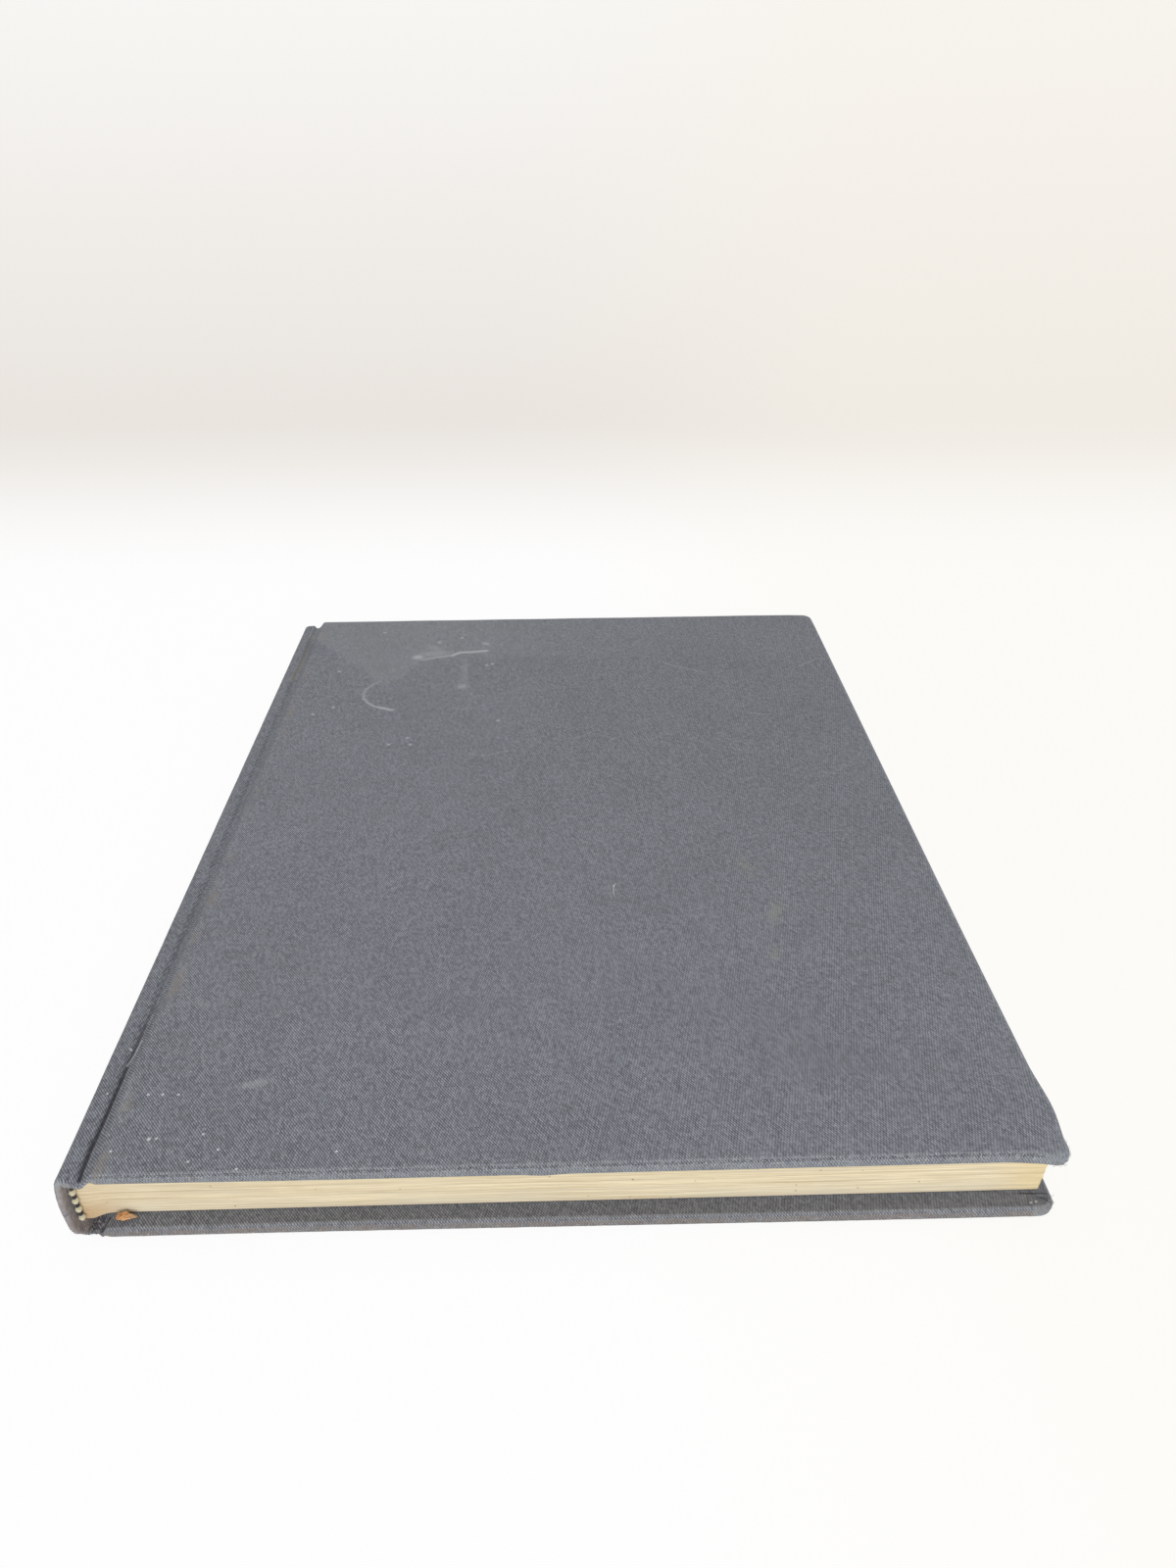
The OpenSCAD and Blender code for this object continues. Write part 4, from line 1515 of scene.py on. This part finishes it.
def fibre_growth():
    """Loose fibres on a strip of cloth, each with its own length and turn."""
    tree = Growth(
        "loose_fibres",
        {"Density": 1e6, "Length": 1.2 * MM, "Radius": 0.04 * MM, "Lift": 0.35, "Seed": 1},
    )
    guide = tree.given.outputs["Guide"]
    inputs = {"Mesh": guide, "Density": tree.size("Density"), "Seed": tree.size("Seed")}
    spots = tree.node("GeometryNodeDistributePointsOnFaces", inputs=inputs)
    length = tree.size("Length")
    lift = length * tree.size("Lift")
    middle = tree.node("ShaderNodeCombineXYZ", inputs={0: length * 0.5, 1: length * 0.22, 2: lift})
    tip = tree.node("ShaderNodeCombineXYZ", inputs={0: length, 1: length * -0.1, 2: length * 0.08})
    bow = tree.node(
        "GeometryNodeCurveQuadraticBezier",
        inputs={"Resolution": 6, "Start": (0, 0, 0), "Middle": middle.outputs[0], "End": tip.outputs[0]},
    )
    fibre = tree.tube(bow.outputs[0], tree.size("Radius"), 4)
    lean = tree.node(
        "FunctionNodeRandomValue", {"data_type": "FLOAT_VECTOR"},
        {0: (-0.3, -0.3, 0), 1: (0.3, 0.3, TAU), "Seed": tree.size("Seed")},
    )
    turn = tree.node("FunctionNodeEulerToRotation", inputs={0: lean.outputs[0]})
    rotation = tree.node(
        "FunctionNodeRotateRotation", {"rotation_space": "LOCAL"},
        {0: spots.outputs["Rotation"], 1: turn.outputs[0]},
    )
    scale = tree.node(
        "FunctionNodeRandomValue", {"data_type": "FLOAT"}, {2: 0.45, 3: 1.3, "Seed": tree.size("Seed") + 1}
    )
    fibres = tree.node(
        "GeometryNodeInstanceOnPoints",
        inputs={"Points": spots.outputs["Points"], "Instance": fibre, "Rotation": rotation.outputs[0],
                "Scale": scale.outputs[1]},
    )
    tree.end(fibres.outputs[0])
    return tree


winding = winding_growth()
loose_fibres = fibre_growth()


# Endbands

BEAD_SIZES = {"First": 0.0, "Last": 4.0, "Neck": 0.62, "Swell": 0.4}
GAP_SIZES = {"First": 5.0, "Last": 8.0, "Neck": 0.62, "Swell": 0.0}
CORE_R = 0.62


def fold_x(z):
    """Where the folds of the sections lie at that height: the back of the block is gently rounded."""
    share = (z - MID_Z) / (MID_Z - BLOCK_Z0)
    return BLOCK_X0 + BACK_ROUND * share ** 2


def band_line(side):
    """The middle of a band's core. side is -1 at the tail and 1 at the head."""
    zs = np.linspace(band_lo[2] + 0.2, band_hi[2] - 0.2, 40)
    xs = fold_x(zs) + 0.3
    ys = np.full_like(zs, side * (HALF_PAGE + 0.82))
    return np.stack([xs, ys, zs], -1)


def back_strip(name, y0, y1, out, thickness, material):
    """A strip glued along the folds, from y0 to y1. Its outer face stands out from them by out."""
    ys, zs = np.meshgrid(np.linspace(y0, y1, 60), np.linspace(band_lo[2], band_hi[2], 30))
    work = Patchwork()
    work.add(np.stack([fold_x(zs) - out, ys, zs], -1))
    return work.make(name, material, thickness)


def endband(end, side):
    """Beads of cream thread with dark thread between them, and the tape behind."""
    node = end + "_band"
    for name, sizes, thread in (("_beads", BEAD_SIZES, cream_thread), ("_gaps", GAP_SIZES, dark_thread)):
        guide = line_guide(node + name, band_line(side))
        piece = winding.grow(node + name, guide, thread, {**sizes, "Turns": BAND_TURNS})
        ride(piece, "block", "endband", node)
    ride(tube(node + "_core", band_line(side), CORE_R * 0.62, dark_thread), "block", "endband")
    y0, y1 = sorted((side * band_lo[1], side * (HALF_PAGE + 0.6)))
    tape = back_strip(node + "_tape", y0, y1, MULL_T, MULL_T - 0.06, cream_thread)
    ride(tape, "block", "endband")


def tube(name, points, radius, material, sides=8):
    """A round thread through these points, pointed at its two ends."""
    points = np.asarray(points, float)
    along = np.gradient(points, axis=0)
    along = along / np.linalg.norm(along, axis=1)[:, None]
    side = np.cross(along, (0.3, 0.5, 0.81))
    side = side / np.linalg.norm(side, axis=1)[:, None]
    up = np.cross(along, side)
    angles = np.linspace(0, TAU, sides + 1)
    shares = np.linspace(-1, 1, len(points))
    radii = radius * np.sqrt(np.clip(1 - shares ** 8, 0, 1))
    rings = points[:, None] + radii[:, None, None] * (
        side[:, None] * np.cos(angles)[None, :, None] + up[:, None] * np.sin(angles)[None, :, None]
    )
    rings[:, -1] = rings[:, 0]
    work = Patchwork()
    work.add(rings)
    return work.make(name, material, closed=True)


# Dried glue


def glue_lump():
    """A brittle lump of old glue between the leaves and the back cover, thickest at its left."""
    around, up = np.meshgrid(np.linspace(0, TAU, 73), np.linspace(-math.pi / 2, math.pi / 2, 37))
    direction = np.stack([np.cos(up) * np.cos(around), np.cos(up) * np.sin(around), np.sin(up)], -1)
    random = np.random.default_rng(61)
    rough = np.zeros_like(around)
    for size in (1.3, 2.1, 3.4, 5.5, 9.0, 15.0):
        axis = random.normal(0, 1, (3, 3))
        ridge = np.sin(direction @ axis[0] * size + 1) * np.sin(direction @ axis[1] * size + 2)
        rough = rough + np.abs(ridge) * 0.42 / size ** 0.6
    middle = (lump_lo + lump_hi) / 2
    reach = (lump_hi - lump_lo) / 2
    body = direction * (0.72 + rough[..., None] * 0.75 - 0.25)
    body = np.clip(body, -1, 1)
    thin = 1 - 0.5 * smooth((body[..., 0] + 0.2) / 1.2)
    body = body * np.stack([np.ones_like(thin), thin, thin], -1)
    body[..., 2] = body[..., 2] * 1.15 + 0.2 - 0.25 * (1 - thin)
    points = middle + body * reach
    points[:, -1] = points[:, 0]
    wear = smooth((body[..., 0] + 0.15) / 0.9)
    work = Patchwork()
    work.add(points, wear=wear)
    return work.make("glue_lump", glue, closed=True)


# Loose fibres

STRIP_X0 = 9.5
STRIP_X1 = 229.0
STRIP_OUTSET = 0.02


def edge_strip(name, front):
    """A guide along the tail edge of a cover, from its outer face round to its edge."""
    xs = np.linspace(STRIP_X0, STRIP_X1, 60)
    angles = np.radians([10, 40, 70, 100] if front else [95, 110, 125, 140])[:, None]
    radius = EDGE_R + STRIP_OUTSET
    work = Patchwork()
    y = EDGE_R - HALF_D - radius * np.sin(angles)
    work.add(on_cover(xs, y, EDGE_R - radius * np.cos(angles), front), flip=front)
    return work.mesh(name)


def corner_strip(name, front):
    """A guide round a cover's near corner."""
    angles = np.radians(np.linspace(-95, 5, 14))
    depths = np.linspace(0.3 if front else 1.3, COVER_T - 0.2, 6)[:, None]
    x = COVER_X1 - CORNER_R + CORNER_R * np.cos(angles)
    y = CORNER_R - HALF_D + CORNER_R * np.sin(angles)
    work = Patchwork()
    work.add(on_cover(x, y, depths, front), flip=front)
    return work.mesh(name)


EDGE_FIBRES = {"Density": 2.6e6, "Length": 0.8 * MM, "Radius": 0.022 * MM, "Lift": 0.15, "Seed": 5}
CORNER_FIBRES = {"Density": 4.5e6, "Length": 0.8 * MM, "Radius": 0.025 * MM, "Lift": 0.35, "Seed": 7}
LINT_SPOT = (133.4, 105.0)
LINT_TAILS = [(133.4, 100.1), (133.2, 102.5), (133.4, 105.0), (133.9, 106.4), (134.4, 107.5)]


def cover_fibres():
    """Threads that have come loose along the worn edges and corners."""
    for side, front in (("front", True), ("back", False)):
        edge = edge_strip(side + "_edge", front)
        corner = corner_strip(side + "_corner", front)
        edge = loose_fibres.grow(side + "_edge_fibres", edge, pale_lint, EDGE_FIBRES)
        corner = loose_fibres.grow(side + "_corner_fibres", corner, frayed_thread, CORNER_FIBRES)
        ride(edge, side + "_cover", "book_cloth")
        ride(corner, side + "_cover", "book_cloth")


def lint():
    """A pale tuft with two thin tails, on the middle of the front cover."""
    points = [(x, tail - HALF_D, BOOK_T + 0.05) for x, tail in LINT_TAILS]
    ride(tube("lint_tails", points, 0.12, pale_lint, 6), "front_cover", "book_cloth")
    x, tail = LINT_SPOT
    tuft = [(x - 0.35, tail - HALF_D, BOOK_T + 0.15), (x, tail - HALF_D + 0.2, BOOK_T + 0.4),
            (x + 0.35, tail - HALF_D, BOOK_T + 0.15)]
    ride(tube("lint_tuft", tuft, 0.28, pale_lint, 8), "front_cover", "book_cloth")


# Camera, light and stage


CAMERA_PLACE = (2.27, -327.7, 233.34)
CAMERA_PITCH = math.radians(32.072)
CAMERA_YAW = math.radians(-1.3486)
CAMERA_ROLL = math.radians(-0.3577)
PHOTO_HEIGHT = 1600
FOCAL_PIXELS = 1140
SENSOR = 36.0


def make_camera():
    data = bpy.data.cameras.new("camera")
    data.sensor_width = SENSOR
    data.lens = FOCAL_PIXELS / PHOTO_HEIGHT * SENSOR
    data.clip_start = 0.01
    data.clip_end = 20
    camera = add_object("camera", data)
    turn = (
        Matrix.Rotation(CAMERA_YAW, 3, "Z")
        @ Matrix.Rotation(math.pi / 2 - CAMERA_PITCH, 3, "X")
        @ Matrix.Rotation(CAMERA_ROLL, 3, "Z")
    )
    camera.matrix_world = Matrix.Translation([c * MM for c in CAMERA_PLACE]) @ turn.to_4x4()
    bpy.context.scene.camera = camera


FLOOR_HALF = 1500.0
WALL_Y = 640.0
WALL_R = 160.0
WALL_TOP = 1500.0
FLOOR_GLOW = 0.93
SKY_STRENGTH = 0.5


def stage_surface():
    """White floor and a pale wall, with painted shade that makes them a little darker where the two meet,
    painted light that makes the wall paler up high, and warm painted shade on the right. along runs up the
    stage from the middle of the book."""
    paint = Paint("stage")
    x, along, _ = paint.parts(paint.attribute("flat"))
    # Painted shade on the far floor and the foot of the wall, and painted light higher up the wall.
    dim = along.step(250, 620)
    upper = along.step(WALL_Y, WALL_Y + 520)
    colour = paint.mix(dim, srgb(255, 255, 255), srgb(234, 229, 223))
    colour = paint.mix(upper, colour, srgb(251, 250, 248))
    # Warm painted shade on the right of the far floor and wall, and a warm painted shadow on the near floor
    # right of the book.
    colour = paint.mix(x.step(40, 420) * dim * 0.5, colour, srgb(248, 243, 232))
    colour = paint.mix(x.step(110, 300) * (1 - dim) * 0.5, colour, srgb(252, 249, 240))
    seen = Value(paint, paint.node("ShaderNodeLightPath").outputs["Is Camera Ray"])
    diffuse = paint.node("ShaderNodeBsdfDiffuse", inputs={"Color": srgb(238, 237, 235)})
    glow = paint.node("ShaderNodeEmission", inputs={"Color": colour, "Strength": 1.0})
    inputs = {0: seen * FLOOR_GLOW, 1: diffuse.outputs[0], 2: glow.outputs[0]}
    both = paint.node("ShaderNodeMixShader", inputs=inputs)
    paint.node("ShaderNodeOutputMaterial", inputs={0: both.outputs[0]})
    return paint.material


def make_stage():
    angles = np.radians(np.linspace(-90, 0, 17))
    profile = [(-FLOOR_HALF, 0.0), (0.0, 0.0)]
    profile += [(WALL_Y + WALL_R * math.cos(a), WALL_R * (1 + math.sin(a))) for a in angles]
    profile += [(WALL_Y + WALL_R, WALL_TOP)]
    profile = np.array(profile)
    along = run_along(profile) - FLOOR_HALF
    points = np.array([[(x, y, z) for y, z in profile] for x in (-FLOOR_HALF, FLOOR_HALF)])
    flat = np.array([[(x, length, 0) for length in along] for x in (-FLOOR_HALF, FLOOR_HALF)])
    work = Patchwork()
    work.add(points, flat, flip=True)
    floor = work.make("floor", stage_surface())


def add_lamp(name, place, size, power):
    """A round lamp that faces the middle of the book. Place and size are in metres."""
    data = bpy.data.lights.new(name, "AREA")
    data.shape = "DISK"
    data.size = size
    data.energy = power
    lamp = add_object(name, data)
    lamp.rotation_euler = Vector(place).to_track_quat("Z", "Y").to_euler()
    lamp.location = place


def make_light():
    world = bpy.data.worlds.new("world")
    world.use_nodes = True
    sky = world.node_tree.nodes["Background"]
    sky.inputs["Color"].default_value = (1, 1, 1, 1)
    sky.inputs["Strength"].default_value = SKY_STRENGTH
    bpy.context.scene.world = world
    add_lamp("ceiling", place=(-0.25, 0.25, 1.6), size=1.4, power=5.5)
    add_lamp("front", place=(0.25, -1.6, 0.75), size=1.2, power=19)


# Assembly


def finish_nodes():
    """CAD nodes that stay as they are get the finish of what they are made of."""
    finishes = {
        "board": board,
        "mull": mull,
        "lining": kraft,
        "inlay": kraft,
        "flyleaf": endpaper,
        "pastedown": endpaper,
        "band": cream_thread,
        "glue": glue,
        "cloth": back_cloth,
        "block": page_edge,
    }
    for name, piece in frame["nodes"].items():
        finish = next(finishes[word] for word in finishes if word in name)
        piece.data.materials.clear()
        piece.data.materials.append(finish)


finish_nodes()
make_camera()
make_light()
make_stage()
bend(cover_skin("front_cover_skin", True), "front_cover", BOOK_T, "book_cloth", "front_cover_cloth")
bend(cover_skin("back_cover_skin", False), "back_cover", 0, "book_cloth", "back_cover_cloth")
bend(pastedown("front_pastedown_sheet", True), "front_cover", BOOK_T, "endpaper", "front_pastedown")
bend(pastedown("back_pastedown_sheet", False), "back_cover", 0, "endpaper", "back_pastedown")
ride(board_slab("front_board_slab", True), "front_cover", "board", "front_board")
ride(board_slab("back_board_slab", False), "back_cover", "board", "back_board")
ride(spine_skin(), "block", "book_cloth", "spine_cloth")
ride(leaf_block(), "block", "pages", "text_block")
spine_mull = back_strip("spine_mull_strip", -SPINE_MULL_HALF, SPINE_MULL_HALF, MULL_T, MULL_T, mull)
spine_lining = back_strip("spine_lining_strip", -HALF_PAGE, HALF_PAGE, 2 * MULL_T, MULL_T, kraft)
ride(spine_mull, "block", "mull", "spine_mull")
ride(spine_lining, "block", "kraft_paper", "spine_lining")
ride(flyleaf("front_flyleaf_sheet", 1.0), "block", "endpaper", "front_flyleaf")
ride(flyleaf("back_flyleaf_sheet", 0.0), "block", "endpaper", "back_flyleaf")
endband("tail", -1)
endband("head", 1)
ride(glue_lump(), "block", "dried_glue", "glue_residue")
cover_fibres()
lint()

bpy.context.scene.view_settings.view_transform = "Standard"
